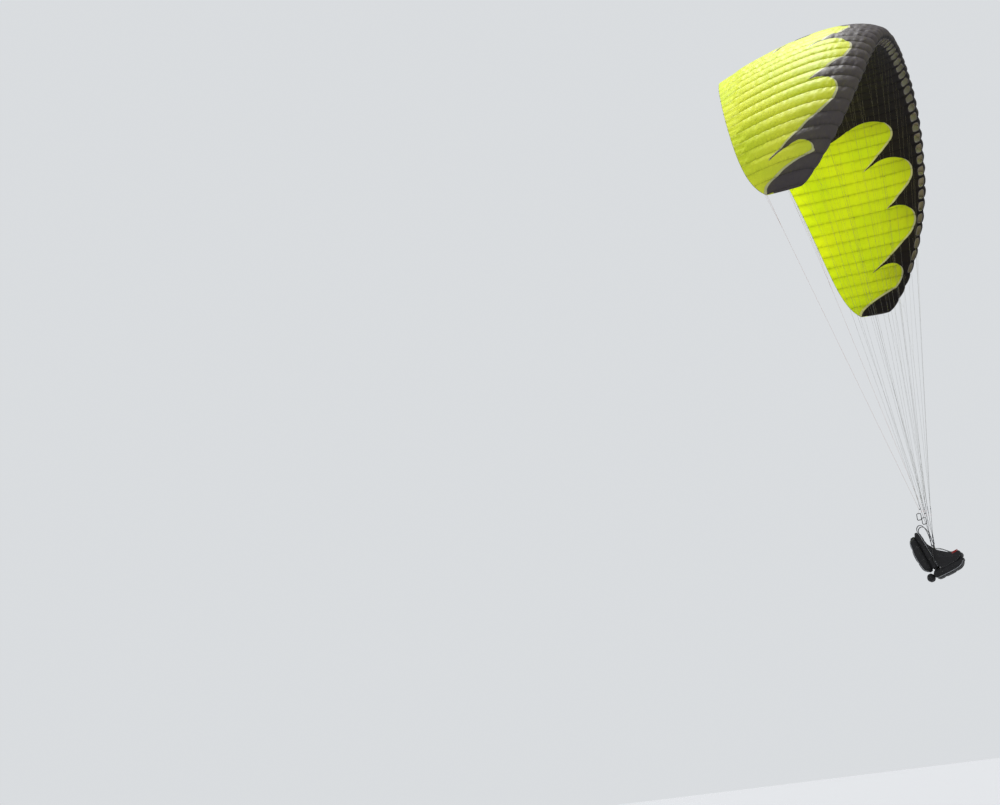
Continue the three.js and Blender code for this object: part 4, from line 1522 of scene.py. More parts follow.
        # A coloured sleeve near the link tells the rows apart.
        sleeve = head - up * np.linspace(0.125, 0.099, 5)[:, None]
        shape.sweep(self.leaned(sleeve), band_profile(self.riser_width + 0.002, 0.0036, 0.0002),
                    across, finish=2)
        shape.build(f"{self.side}_riser_{row.name}_webbing", "webbing", "wing",
                    [Finishes.WEBBING, Finishes.STITCH, Finishes.GRIP],
                    f"{self.side}_riser_{row.name}")

    def riser_base(self) -> None:
        """Make the folded foot where the three straps meet at the carabiner."""
        shape = Shape()
        turn = np.linspace(-0.5 * np.pi + 0.5, 1.5 * np.pi - 0.5, 30)[:, None]
        for radius in (0.0087, 0.0106):
            ring = HANG + radius * (np.cos(turn) * AHEAD - np.sin(turn) * UP)
            shape.sweep(self.side.of(ring), band_profile(0.026, 0.0017), self.side.of(ACROSS))
        for i, top in enumerate((0.048, 0.060, 0.063, 0.060, 0.048)):
            x = 0.0029 * (i - 2)
            path = np.array([[x * 0.9, 0, 0.0098], [x, 0, 0.016], [x, 0, 0.03], [x, 0, top]])
            shape.sweep(self.leaned(smooth_path(path, 8)), band_profile(0.0255, 0.0026),
                        self.lean_way(ACROSS))
        for sign in (-1, 1):
            for low, high in ((0.018, 0.026), (0.036, 0.044)):
                self.bar_tack(shape, [sign * 0.0072, 0, low], [sign * 0.0072, 0, high],
                              AHEAD * sign, 0.020)
        shape.build(f"{self.side}_riser_foot_webbing", "webbing", "wing",
                    [Finishes.WEBBING, Finishes.STITCH], f"{self.side}_riser_base")

    def link(self, row: LineRow) -> None:
        """Make one rounded steel link with its barrel nut.

        Args:
            row: The row of lines that it carries.
        """
        shape = Shape()
        half_w, half_h = (self.link_width - self.link_bar) / 2, (self.link_height - self.link_bar) / 2
        middle = self.riser_top + half_h
        flat = rounded_frame(half_w, half_h, 0.0062, 7)
        path = np.stack([row.link_x + 0 * flat[:, 0], flat[:, 0], middle + flat[:, 1]], -1)
        ahead = self.lean_way(AHEAD)
        shape.sweep(self.leaned(path), round_profile(self.link_bar / 2, 12), ahead, closed=True)
        barrel = np.array([row.link_x, half_w, middle])
        for rises, radius, sides, scale in (
                (np.array([-0.0072, -0.0064, 0.0064, 0.0072]), 0.0042, 6, [0.86, 1, 1, 0.86]),
                (np.linspace(0.0072, 0.0105, 10), 0.0025, 12, 1 + 0.07 * (np.arange(10) % 2))):
            shape.sweep(self.leaned(barrel + UP * rises[:, None]), round_profile(radius, sides),
                        ahead, scale=scale)
        shape.build(f"{self.side}_{row.name}_link_steel", "steel", "wing", [Finishes.STEEL],
                    f"{self.side}_{row.name}_link", crisp=35)

    def pulley_spot(self) -> Array:
        """Place the pulley behind the upright rear riser.

        Returns:
            Its centre, relative to the hang point.
        """
        share = (self.pulley_up - self.riser_foot) / (self.riser_top - self.riser_foot)
        rear = LINE_ROWS[2].foot_x + (LINE_ROWS[2].link_x - LINE_ROWS[2].foot_x) * share
        return np.array([rear - 0.016, 0, self.pulley_up])

    def pulley(self) -> None:
        """Make the brake pulley: a grooved wheel between two cheeks, tied to the rear riser."""
        shape = Shape()
        spot = self.pulley_spot()
        axis, ahead = self.lean_way(ACROSS), self.lean_way(AHEAD)
        # Both are turned forms that mirror about their middles: distance and radius.
        wheel = ((0.0024, 0.0088), (0.0022, 0.0092), (0.0014, 0.0084), (0.0005, 0.0068))
        pin = ((0.0042, 0.0016), (0.0041, 0.0022), (0.0036, 0.0022), (0.0035, 0.0014))
        for finish, (half, sides) in enumerate(((wheel, 28), (pin, 14))):
            shape.lathe(self.leaned(spot), axis, ahead, [(-x, r) for x, r in half] + list(half[::-1]),
                        sides, finish)
        for y in (-0.0032, 0.0032):
            path = spot + [[-0.0085, y, 0], [-0.006, y, 0.0002], [0.005, y, 0.0002], [0.0135, y, 0]]
            shape.sweep(self.leaned(path), band_profile(0.013, 0.0012), self.lean_way(UP),
                        scale=[0.55, 1, 1, 0.5])
        tie = spot + [[0.0095, 0, -0.003], [0.0125, 0, 0], [0.0132, 0, 0.004]]
        shape.sweep(self.leaned(smooth_path(tie, 8)), band_profile(0.006, 0.0014), axis, finish=2)
        shape.build(f"{self.side}_brake_pulley_wheel", "plastic", "wing",
                    [Finishes.PLASTIC, Finishes.STEEL, Finishes.WEBBING],
                    f"{self.side}_brake_pulley", crisp=35)

    def edge_weight(self, rib: float) -> float:
        """Work out how much of the fan's travel the trailing edge makes at a rib.

        Args:
            rib: The rib, counted from the middle.

        Returns:
            The share, up to one.
        """
        off = self.form.surface(rib, -1, 1.0) - self.hinge_point
        swing = 2 * np.sin(self.panel_angle / 2) * np.linalg.norm(np.cross(self.hinge_axis, off))
        return min(1.0, float(swing) / self.fan_travel)

    def strand(self, name: str, ends: tuple[Array, Array], weights: tuple[float, float],
               radius: float, finish: int, splice: float, *nodes: str) -> None:
        """Make one brake cord between the wing and the fan.

        Args:
            name: The end of the piece's name.
            ends: Its lower and upper end.
            weights: The share of the fan's travel at each end, handed to cross_joint.
            radius: Its radius.
            finish: Its material.
            splice: The length of a splice.
            *nodes: The solid nodes that it stands for.
        """
        shape = Shape()
        self.cord(shape, *ends, radius, finish, splice)
        piece = shape.build(f"{self.side}_brake_{name}", "sheathed_line", "",
                            [Finishes.BRAKE_LINE, Finishes.UPPER_LINE], *nodes)
        cross_joint(piece, ("wing", f"{self.side}_brake_fan"), *ends, weights)

    def brake(self) -> None:
        """Make the brake cords: main, middle and top strands."""
        spot = self.pulley_spot()
        low = self.leaned(spot) + [-self.pulley_radius, 0, self.pulley_radius + 0.008]
        tops = np.array([self.top(rib) for rib in self.brake_tops])
        fork = low + (tops.mean(0) - low) * self.brake_share
        self.strand("main_cord", (self.leaned(spot - AHEAD * self.groove), fork), (0.0, 1.0),
                    self.main_radius, 0, 0.09, f"{self.side}_brake_line")
        nodes = [f"{self.side}_brake_fan"]
        for number, ribs in enumerate(BRAKE_GROUPS, 1):
            ends, weights = [self.top(rib) for rib in ribs], [self.edge_weight(rib) for rib in ribs]
            knee = fork + (np.mean(ends, 0) - fork) * self.brake_fork
            bend = 1 + (float(np.mean(weights)) - 1) * self.brake_fork
            self.strand(f"middle_cord_{number}", (fork, knee), (1.0, bend),
                        self.upper_radius * 1.15, 0, 0.07, *nodes)
            nodes = []
            for end, weight, rib in zip(ends, weights, ribs):
                tied = end + unit(knee - end) * self.tab_reach
                self.strand(f"top_cord_{int(rib)}", (knee, tied), (bend, weight),
                            self.upper_radius, 1, 0.05)

    def handle(self) -> None:
        """Make the brake handle, a padded loop of webbing, and the cord that joins it."""
        body = f"{self.side}_brake_handle"
        centre = np.array([HANG[0] + self.handle_x, self.leaned(self.pulley_spot())[1],
                           HANG[2] + self.handle_up])
        shape = Shape()
        flat = rounded_frame(0.033, 0.053, 0.019, 9)
        line = flat[:, :1] * AHEAD + flat[:, 1:] * UP
        shape.sweep(centre + line, band_profile(0.0135, 0.0085, 0.0021), ACROSS, closed=True,
                    scale=0.86 + 0.14 * smooth((0.02 - flat[:, 1]) / 0.05))
        low = line[flat[:, 1] < 0.045]
        for sign in (-1, 1):
            shape.stitch(centre + low + unit(low) * 0.0040 + ACROSS * sign * 0.0050, 1, 0.007, 0.004)
        # Swivel and knot on top.
        shape.lathe(centre + UP * 0.053, UP, AHEAD, [
            (-0.0065, 0.003), (-0.006, 0.0048), (0.0052, 0.0048), (0.0058, 0.0036),
            (0.0066, 0.0036), (0.0072, 0.0028)], 16, 2)
        shape.build(f"{body}_grip", "webbing", body,
                    [Finishes.WEBBING, Finishes.STITCH, Finishes.STEEL], body)
        shape = Shape()
        high, low = self.leaned(self.pulley_spot() - AHEAD * self.groove), centre + UP * 0.059
        shape.sweep(np.linspace(low, high, 6), round_profile(self.main_radius, 8), AHEAD)
        cord = shape.build(f"{body}_cord", "sheathed_line", "", [Finishes.BRAKE_LINE])
        cross_joint(cord, ("wing", body), high, low, (0.0, 1.0))

    def build(self) -> None:
        """Make every piece of this side's rigging."""
        for row in LINE_ROWS:
            for make in (self.tree, self.riser, self.link):
                make(row)
        for make in (self.riser_base, self.pulley, self.brake, self.handle):
            make()


# Harness


def reclined(points: Array) -> Array:
    """Return harness points, given relative to the hang line, shifted and leaned back.

    Args:
        points: Ahead, across and up from the middle of the hang line.

    Returns:
        The points in the row frame.
    """
    turn = np.radians(19.7)
    x, y, z = points[..., 0] + 0.060, points[..., 1], points[..., 2]
    return np.stack([HANG[0] + x * np.cos(turn) - z * np.sin(turn), y,
                     HANG[2] + x * np.sin(turn) + z * np.cos(turn)], -1)


def strap_axes(path: Array) -> tuple[Array, Array]:
    """Work out how a strap lies along its path.

    Args:
        path: The strap's centre line.

    Returns:
        The direction across the strap and the direction off its face, at each point.
    """
    along = unit(np.gradient(path, axis=0))
    wide = unit(ACROSS - along * (along @ ACROSS)[:, None])
    return wide, np.cross(along, wide)


@dataclass
class Pod:
    """A stuffed shell: rings of a rounded square along an axis, closed by domed ends.

    A ring gives, in millimetres, its place on the axis, the middle of its section and the
    half-widths of its section.
    """

    name: str
    node: str
    rings: tuple[tuple[float, float, float, float, float], ...]
    upright: bool = False
    dome: float = 0.022
    rows: int = 44
    sides: int = 56
    mesh_side: int | None = None
    piped: tuple[int, ...] = ()
    seam_rows: tuple[float, ...] = (0.33, 0.66)
    cap: float = 0.011
    slack: float = 0.985
    dome_steps: tuple[tuple[float, float], ...] = (
        (0.97, 0.25), (0.86, 0.62), (0.62, 0.86), (0.32, 0.98))

    def place(self, at: Array | float, first: Array | float, second: Array | float) -> Array:
        """Return points in the row frame from places along the pod's own three axes."""
        order = (first, second, at) if self.upright else (at, first, second)
        return reclined(np.stack(np.broadcast_arrays(*order), -1))

    def rings_at(self) -> Array:
        """Lay out the rings of points, evenly spaced, with room left for the domes.

        Returns:
            Points by ring and by place round the ring.
        """
        rings = np.array(self.rings) * MM
        middle, half = (rings[-1, 0] + rings[0, 0]) / 2, (rings[-1, 0] - rings[0, 0]) / 2
        rings[:, 0] = middle + (rings[:, 0] - middle) * (half - self.dome) / half
        table = smooth_path(rings, self.rows)
        section = []
        for k in range(4):
            turn = np.radians(np.linspace(-45, 45, 9) + 90 * k)
            ends = np.stack([np.cos(turn), np.sin(turn)], -1)
            section.append(smooth_path(np.sign(ends) * np.sqrt(np.abs(ends)),
                                       self.sides // 4 + 1)[:-1])
        reach = self.slack * table[:, None, 3:] * np.concatenate(section)
        return self.place(table[:, :1], table[:, 1:2] + reach[..., 0], table[:, 2:3] + reach[..., 1])

    def shell(self) -> bpy.types.Object:
        """Make the shell, with its seams in a vertex group for the simulation.

        Returns:
            The piece.
        """
        rings = self.rings_at()
        first, last = rings[0], rings[-1]
        way = self.dome * unit(self.place(1, 0, 0) - self.place(0, 0, 0))
        steps, domes = self.dome_steps, len(self.dome_steps)
        layers = [*(shrunk(first, size) - way * rise for size, rise in steps[::-1]), *rings,
                  *(shrunk(last, size) + way * rise for size, rise in steps)]
        points = np.concatenate([*layers, [first.mean(0) - way], [last.mean(0) + way]])
        count, sides, quarter = len(layers), self.sides, self.sides // 4
        ring = np.arange(sides)
        after, pole, top = (ring + 1) % sides, 0 * ring + count * sides, (count - 1) * sides
        faces = [*grid(count, sides, True), *np.stack([pole, after, ring], -1),
                 *np.stack([pole + 1, top + ring, top + after], -1)]
        shape = Shape()
        shape.add(points, faces)
        if self.mesh_side is not None:
            for row in range(domes + 1, count - domes - 2):
                start = row * sides + self.mesh_side * quarter
                shape.finish[start:start + quarter] = [1] * quarter
        piece = shape.build(self.name, "harness_cloth", "harness", [Finishes.PACK, Finishes.MESH],
                            self.node, turn=True)
        held = {row * sides + corner * quarter
                for row in range(domes, count - domes) for corner in range(4)}
        for share in (0.0, *self.seam_rows, 1.0):
            row = domes + int(round(share * (self.rows - 1)))
            held |= {row * sides + k for k in range(sides)}
        piece.vertex_groups.new(name="seams").add(sorted(held), 1.0, "REPLACE")
        return piece

    def trims(self) -> None:
        """Make the piping on the edges and round both ends, and stitches on the cross seams."""
        shape = Shape()
        rings = self.rings_at()
        for which in self.piped:
            line = smooth_path(rings[:, which * (self.sides // 4)], 60)
            out = unit(line - smooth_path(rings.mean(1), 60))
            shape.sweep(line + out * 0.0015, round_profile(0.0030, 8), out)
        for ring in (rings[0], rings[-1]):
            shape.sweep(ring, round_profile(0.0021, 8), unit(ring - ring.mean(0)), closed=True,
                        finish=1)
        for share in self.seam_rows:
            ring = rings[int(round(share * (self.rows - 1)))]
            line = ring + unit(ring - ring.mean(0)) * 0.0022
            shape.stitch(np.concatenate([line, line[:1]]), 2, 0.008, 0.0045)
        shape.build(f"{self.name}_trim", "webbing", "harness",
                    [Finishes.PIPING, Finishes.WEBBING, Finishes.STITCH])


@dataclass
class HarnessSide:
    """One half of the harness: side panel, load webbing, carabiner, shoulder and leg strap."""

    side: Side
    side_outline: tuple[tuple[float, float], ...] = (
        (-188, -70), (-110, -240), (60, -385), (222, -436), (228, -500), (120, -560),
        (-150, -560), (-188, -500))
    side_levels: tuple[tuple[float, float], ...] = (
        (0.0, 0.985), (0.0006, 1.0), (0.0036, 1.0), (0.0048, 0.985), (0.0056, 0.93),
        (0.0068, 0.6), (0.0072, 0.25))
    side_inner: float = 0.1874
    zip_line: tuple[tuple[float, float], ...] = (
        (-135, -330), (-60, -395), (50, -455), (150, -485))
    web_foot: float = -0.368
    shoulder_path: tuple[tuple[float, float], ...] = (
        (-175, 63), (-195, 92), (-192, 150), (-150, 184), (-95, 164), (-45, 80), (-16, -40),
        (-3, -140), (-2, -172))
    leg_path: tuple[tuple[float, float, float], ...] = (
        (385, 97, -329.9), (330, 97, -349), (250, 94, -300), (120, 76, -232), (34, 61, -212),
        (7, 56, -196), (7, 56, -158))

    def raised(self, line: Array, rise: float, size: float = 1.0) -> Array:
        """Return a flat line as points of the side panel, raised and drawn in."""
        flat = np.stack([line[:, 0], 0 * line[:, 0] + self.side_inner + rise, line[:, 1]], -1)
        return self.side.of(reclined(shrunk(flat, size)))

    def side_panel(self) -> None:
        """Make the side panel with a bound edge and a zipped pocket."""
        outline = rounded_outline(np.array(self.side_outline) * MM, 0.045, 7)
        shape = Shape()
        shape.tube(np.array([self.raised(outline, rise, size) for rise, size in self.side_levels]))
        shape.sweep(self.raised(outline, 0.0036, 0.992), band_profile(0.0066, 0.0035, 0.0006),
                    ACROSS, closed=True, finish=1)
        line = self.raised(outline, 0.0058, 0.955)
        shape.stitch(np.concatenate([line, line[:1]]), 2, 0.008, 0.0045)
        self.zip(shape, self.raised(smooth_path(np.array(self.zip_line) * MM, 60), 0.0072), 3)
        shape.build(f"{self.side}_harness_side_panel", "harness_cloth", "harness",
                    [Finishes.PACK, Finishes.WEBBING, Finishes.STITCH, Finishes.PLASTIC],
                    f"{self.side}_harness_side", turn=True, fill=0.4)

    def zip(self, shape: Shape, path: Array, finish: int) -> None:
        """Add a coil zip: two tapes, a row of teeth, and a slider with its pull tag.

        Args:
            shape: The piece that is being made.
            path: The line of its teeth, on the cloth.
            finish: The material of its teeth.
        """
        out = self.side.of(ACROSS)
        along = unit(np.gradient(path, axis=0))
        across = unit(np.cross(along, out))
        shape.sweep(path + out * 0.0003, band_profile(0.022, 0.0010), across, finish=1)
        # Coil teeth are 1 mm apart. They are drawn at 3 mm.
        count = int(np.sum(np.linalg.norm(np.diff(path, axis=0), axis=1)) / 0.0030)
        fine = smooth_path(path, count)
        side = unit(np.cross(unit(np.gradient(fine, axis=0)), out))
        shift = np.where(np.arange(count) % 2, 0.0007, -0.0007)[:, None]
        shape.threads(fine + out * 0.0014 + side * shift, side * 0.0016, finish, 0.0008)
        way, wide, slider = along[-8], across[-8], path[-8] + out * 0.0026
        shape.sweep(np.array([slider - way * 0.006, slider + way * 0.006]),
                    band_profile(0.0085, 0.003, 0.0006), wide, finish=finish)
        tag = np.array([slider + out * rise - way * back for rise, back in (
            (0.001, 0.0), (0.0025, 0.006), (0.0012, 0.018), (0.0008, 0.034))])
        shape.sweep(smooth_path(tag, 12), band_profile(0.0065, 0.0016), wide, finish=1)

    def main_web(self) -> None:
        """Make the load webbing from the carabiner down the harness side."""
        side, shape = self.side, Shape()
        bar = HANG - UP * 0.1
        turn = np.linspace(0.5 * np.pi + 0.5, 2.5 * np.pi - 0.5, 30)[:, None]
        ring = bar + 0.0095 * (np.cos(turn) * AHEAD - np.sin(turn) * UP)
        shape.sweep(side.of(ring), band_profile(0.028, 0.0032), ACROSS)
        for shift, low in ((-0.0013, self.web_foot), (0.0013, -0.085)):
            path = bar + [[shift * 1.4, 0, -0.0085], [shift, 0, -0.03],
                          [shift, 0, (low - 0.05) / 2], [shift, 0, low]]
            shape.sweep(side.of(smooth_path(path, 24)), band_profile(0.029, 0.0022), ACROSS)
        for sign in (-1, 1):
            for low, high in ((-0.022, -0.034), (-0.060, -0.072)):
                spots = bar + [sign * 0.0027, 0, 0.0003] + UP * np.linspace(low, high, 9)[:, None]
                shape.threads(side.of(spots), ACROSS * 0.010 + UP * 0.0003, 1)
            for edge in (-0.0118, 0.0118):
                line = bar + [sign * 0.0014 - 0.0013, edge, 0] + UP * np.linspace(
                    -0.09, self.web_foot + 0.01, 12)[:, None]
                shape.stitch(side.of(line), 1)
        shape.build(f"{side}_main_webbing_strap", "webbing", "harness",
                    [Finishes.WEBBING, Finishes.STITCH], f"{side}_main_webbing")

    def carabiner(self) -> None:
        """Make the carabiner: forged frame, gate, hinge pin and ribbed locking sleeve."""
        shape = Shape()
        half_w, middle = 0.027, HANG - UP * 0.050
        flat = rounded_frame(half_w, 0.050, 0.019, 9)
        flat = flat[np.argsort(np.mod(np.arctan2(flat[:, 1], flat[:, 0]), 2 * np.pi))]
        flat = flat[~((flat[:, 0] > half_w - 0.001) & (np.abs(flat[:, 1]) < 0.030))]
        path = middle + flat[:, :1] * ACROSS + flat[:, 1:] * UP
        shape.sweep(self.side.of(path), round_profile(1.0, 14) * [0.0050, 0.0046], AHEAD)
        centre = self.side.of(middle + ACROSS * half_w)
        gate = [(-0.0310, 0.0052), (-0.0306, 0.0056), (-0.0250, 0.0056), (-0.0246, 0.0046),
                (0.0270, 0.0046), (0.0274, 0.0054), (0.0318, 0.0054), (0.0322, 0.0048)]
        shape.lathe(centre, UP, AHEAD, gate, 20)
        sleeve = [(-0.016, 0.0056), (-0.0155, 0.0064)]
        for at in -0.0145 + 0.0022 * np.arange(14):
            sleeve += [(at + step, radius) for step, radius in (
                (0, 0.0064), (0.0004, 0.0068), (0.0012, 0.0068), (0.0016, 0.0064))]
        shape.lathe(centre, UP, AHEAD, [*sleeve, (0.0172, 0.0064), (0.0177, 0.0056)], 24, 1)
        pin = [(-0.0066, 0.0012), (-0.0064, 0.0018), (0.0064, 0.0018), (0.0066, 0.0012)]
        shape.lathe(centre - UP * 0.028, AHEAD, UP, pin, 12, 2)
        shape.build(f"{self.side}_carabiner_alloy", "alloy", "harness",
                    [Finishes.ALLOY, Finishes.PLASTIC, Finishes.STEEL],
                    f"{self.side}_carabiner", crisp=40, turn=True)

    def shoulder(self) -> None:
        """Make the shoulder strap: a padded band with bound edges and webbing sewn on it."""
        raw = np.array(self.shoulder_path) * MM
        y = np.linspace(0.080, 0.170, len(raw))
        path = self.side.of(smooth_path(
            np.stack([HANG[0] + raw[:, 0], y, HANG[2] + raw[:, 1]], -1), 64))
        shape = Shape()
        shape.sweep(path, band_profile(0.042, 0.0060, 0.0012), ACROSS)
        wide, up = strap_axes(path)
        for sign in (-1, 1):
            shape.sweep(path + wide * sign * 0.0205, round_profile(1.0, 8) * [0.0024, 0.0036],
                        ACROSS, finish=1)
            for face in (-1, 1):
                shape.stitch(path + wide * sign * 0.0165 + up * face * 0.0036, 2, 0.008, 0.0045)
        outer = np.sign(np.sum(up * [0.3, 0, 1.0], -1).mean())
        shape.sweep(path[4:] + up[4:] * outer * 0.0042, band_profile(0.022, 0.0016), ACROSS,
                    finish=1)
        shape.build(f"{self.side}_shoulder_strap_pad", "webbing", "harness",
                    [Finishes.MESH, Finishes.WEBBING, Finishes.STITCH],
                    f"{self.side}_shoulder_strap", turn=True, fill=0.6)

    def leg(self) -> None:
        """Make the leg strap with its sleeve pad and steel adjuster."""
        raw = np.array(self.leg_path) * MM
        path = self.side.of(smooth_path(raw + HANG * [1, 0, 1], 60))
        shape = Shape()
        shape.sweep(path, band_profile(0.0385, 0.0028), ACROSS)
        wide, up = strap_axes(path)
        for sign in (-1, 1):
            for face in (-1, 1):
                shape.stitch(path + wide * sign * 0.0165 + up * face * 0.0016, 1)
        shape.sweep(path[14:44], band_profile(0.0405, 0.0046, 0.0012), ACROSS, finish=2)
        spot, wide, up = path[50], wide[50], up[50]
        flat = rounded_frame(0.0215, 0.0125, 0.004, 6)
        shape.sweep(spot + flat[:, :1] * wide + flat[:, 1:] * np.cross(wide, up) + up * 0.0022,
                    round_profile(0.0019, 10), up, closed=True, finish=3)
        bar = spot + up * 0.0032
        shape.rod(bar - wide * 0.0205, bar + wide * 0.0205, 0.0018, 3, 10)
        shape.build(f"{self.side}_leg_strap_webbing", "webbing", "harness",
                    [Finishes.WEBBING, Finishes.STITCH, Finishes.MESH, Finishes.STEEL],
                    f"{self.side}_leg_strap", turn=True, fill=0.4)

    def build(self) -> None:
        """Make every piece of this half."""
        for make in (self.side_panel, self.main_web, self.carabiner, self.shoulder, self.leg):
            make()


@dataclass
class Harness:
    """The pilot's harness: stuffed shells, chest strap, reserve handle and both halves."""

    pressure: float = 3.0
    frames: int = 20
    pods: tuple[Pod, ...] = (
        Pod("harness_seat_cushion", "harness_seat", (
            (-190, 0, -478, 150, 22), (-172, 0, -480, 178, 37), (20, 0, -480, 187, 39.7),
            (205, 0, -480, 180, 38), (232, 0, -484, 150, 22)), dome=0.014, mesh_side=1,
            piped=(1, 2), seam_rows=(0.28, 0.52, 0.76), cap=0.008),
        Pod("harness_back_protector", "harness_protector", (
            (-330, 0, -585, 120, 42), (-290, 0, -594, 165, 70), (20, 0, -598, 184, 78.6),
            (150, 0, -588, 172, 64), (214, 0, -566, 132, 32)), piped=(0, 3),
            seam_rows=(0.30, 0.62)),
        Pod("harness_back_panel", "harness_back", (
            (-516, -240, 0, 40, 160), (-470, -239.5, 0, 49.2, 176), (-150, -239.5, 0, 49.2, 170),
            (100, -245, 0, 42, 140), (160, -250, 0, 26, 96)), upright=True, dome=0.020,
            mesh_side=0, piped=(0, 1), seam_rows=(0.25, 0.5, 0.75), cap=0.008),
        Pod("harness_rear_pocket_bag", "harness_rear_pocket", (
            (-500, -346, 0, 34, 110), (-450, -362, 0, 68, 158), (-200, -368.3, 0, 80, 168),
            (40, -352, 0, 60, 148), (120, -334, 0, 40, 100)), upright=True, piped=(2, 3),
            seam_rows=(0.34, 0.70)),
        Pod("reserve_container_bag", "reserve_container", (
            (-452, 0, -592, 76, 40), (-430, 0, -590, 108, 60), (-360, 0, -588, 112, 64),
            (-330.4, 0, -588, 84, 40)), dome=0.014, rows=24, seam_rows=(0.5,)),
    )
    reserve_out: float = 0.195

    def inflate(self, shells: list[tuple[Pod, bpy.types.Object]]) -> None:
        """Fill the shells by a cloth simulation with pressure and keep its result.

        Args:
            shells: Each pod with its shell.
        """
        scene = bpy.context.scene
        for _, piece in shells:
            cloth = piece.modifiers.new("fill", "CLOTH")
            cloth.point_cache.frame_start, cloth.point_cache.frame_end = 1, self.frames
            rules = cloth.settings
            rules.quality = 6
            rules.mass = 0.2
            rules.tension_stiffness = rules.compression_stiffness = 14
            rules.shear_stiffness = 5
            rules.bending_stiffness = 0.5
            rules.shrink_min = -0.04
            rules.use_pressure = True
            rules.uniform_pressure_force = self.pressure
            rules.vertex_group_mass = "seams"
            rules.effector_weights.gravity = 0
        for step in range(1, self.frames + 1):
            scene.frame_set(step)
        graph = bpy.context.evaluated_depsgraph_get()
        for pod, piece in shells:
            before, after = (np.array([v.co[:] for v in mesh.vertices])
                             for mesh in (piece.data, piece.evaluated_get(graph).data))
            move = after - before
            far = np.linalg.norm(move, axis=1, keepdims=True)
            move *= np.minimum(1, pod.cap / np.maximum(far, 1e-9))
            LOG.info("%s filled, up to %.0f mm", piece.name, far.max() / MM)
            piece.modifiers.clear()
            piece.data.vertices.foreach_set("co", (before + move).ravel())
        scene.frame_set(1)

    def stuffed(self) -> None:
        """Make the stuffed shells with their piping."""
        shells = [(pod, pod.shell()) for pod in self.pods]
        self.inflate(shells)
        for pod, piece in shells:
            smoother = piece.modifiers.new("smooth", "SUBSURF")
            smoother.levels = smoother.render_levels = 1
            graph = bpy.context.evaluated_depsgraph_get()
            smoothed = bpy.data.meshes.new_from_object(piece.evaluated_get(graph))
            piece.modifiers.clear()
            piece.data = smoothed
            pod.trims()

    def chest(self) -> None:
        """Make the chest strap and its side-release buckle."""
        spot = np.array([HANG[0] + 0.0036, 0, HANG[2] - 0.170])
        shape = Shape()
        for first, last in ((-0.2225, -0.006), (0.006, 0.2225)):
            path = spot + ACROSS * np.linspace(first, last, 20)[:, None]
            shape.sweep(path, band_profile(0.0295, 0.0023), UP)
            for edge in (-0.0125, 0.0125):
                shape.stitch(path + [0.0013, 0, edge], 1)
        for sign in (-1, 1):
            loop = spot + [0.0030, 0, 0] + ACROSS * sign * np.linspace(0.034, 0.048, 6)[:, None]
            shape.sweep(loop, band_profile(0.033, 0.0050, 0.0004), UP)
        shape.build("chest_strap_webbing", "webbing", "harness",
                    [Finishes.WEBBING, Finishes.STITCH], "chest_strap")
        shape = Shape()
        centre = spot + AHEAD * 0.00755
        for half in (((-29, 17), (-16, 20.5), (-8, 16.5), (4, 16.5)),
                     ((5.5, 16), (12, 20), (27, 19.5), (29.5, 14))):
            upper = np.array(half) * MM
            outline = np.concatenate([upper, upper[::-1] * [1, -1]])
            shape.plate(centre, rounded_outline(outline, 0.0035, 4), 0.0118, 0.0022)
        for sign in (-1, 1):
            button = np.array([(-14, 16.5), (-14, 20.8), (2, 20.8), (2, 16.5)]) * MM * [1, sign]
            shape.plate(centre, rounded_outline(button, 0.0015, 3), 0.0080, 0.0012)
            for k in range(5):
                rib = centre + ACROSS * (-0.0115 + k * 0.0028) + UP * sign * 0.0208
                shape.rod(rib - AHEAD * 0.0032, rib + AHEAD * 0.0032, 0.0006, 0, 5)
            bar = centre + ACROSS * sign * 0.0235 + AHEAD * 0.0050
            shape.rod(bar - UP * 0.0165, bar + UP * 0.0165, 0.0016, 0, 8)
        shape.build("chest_buckle_moulded", "plastic", "harness", [Finishes.PLASTIC],
                    "chest_buckle", crisp=35, turn=True)

    def reserve_grip(self) -> None:
        """Make the reserve handle: a stuffed red loop whose ends are sewn flat."""
        shape = Shape()
        half = ((0.052, 0.0016), (0.040, 0.0020), (0.026, 0.0058), (0.010, 0.0080))
        lift = [(-x, y) for x, y in half] + list(half[::-1])
        spots = np.array([[0.150 + x, -(self.reserve_out + y), -0.420] for x, y in lift])
        path = reclined(smooth_path(spots, 40))
        up = unit(reclined(UP) - reclined(np.zeros(3)))
        shape.sweep(path, band_profile(0.0285, 0.0026), up)
        bulge = 1 - smooth((np.abs(np.linspace(-1, 1, 40)) - 0.45) / 0.3)
        shape.sweep(path[9:31], band_profile(0.0265, 0.0050, 0.0010), up,
                    scale=0.9 + 0.1 * bulge[9:31])
        for low, high in ((3, 8), (32, 37)):
            shape.threads(path[low:high] - ACROSS * 0.0018, up * 0.011, 1)
        shape.build("reserve_handle_loop", "webbing", "harness",
                    [Finishes.GRIP, Finishes.STITCH], "reserve_handle", turn=True, fill=0.5)

    def build(self) -> None:
        """Make every piece of the harness."""
        self.stuffed()
        self.chest()
        self.reserve_grip()
        for side in Side:
            HarnessSide(side).build()


# Studio


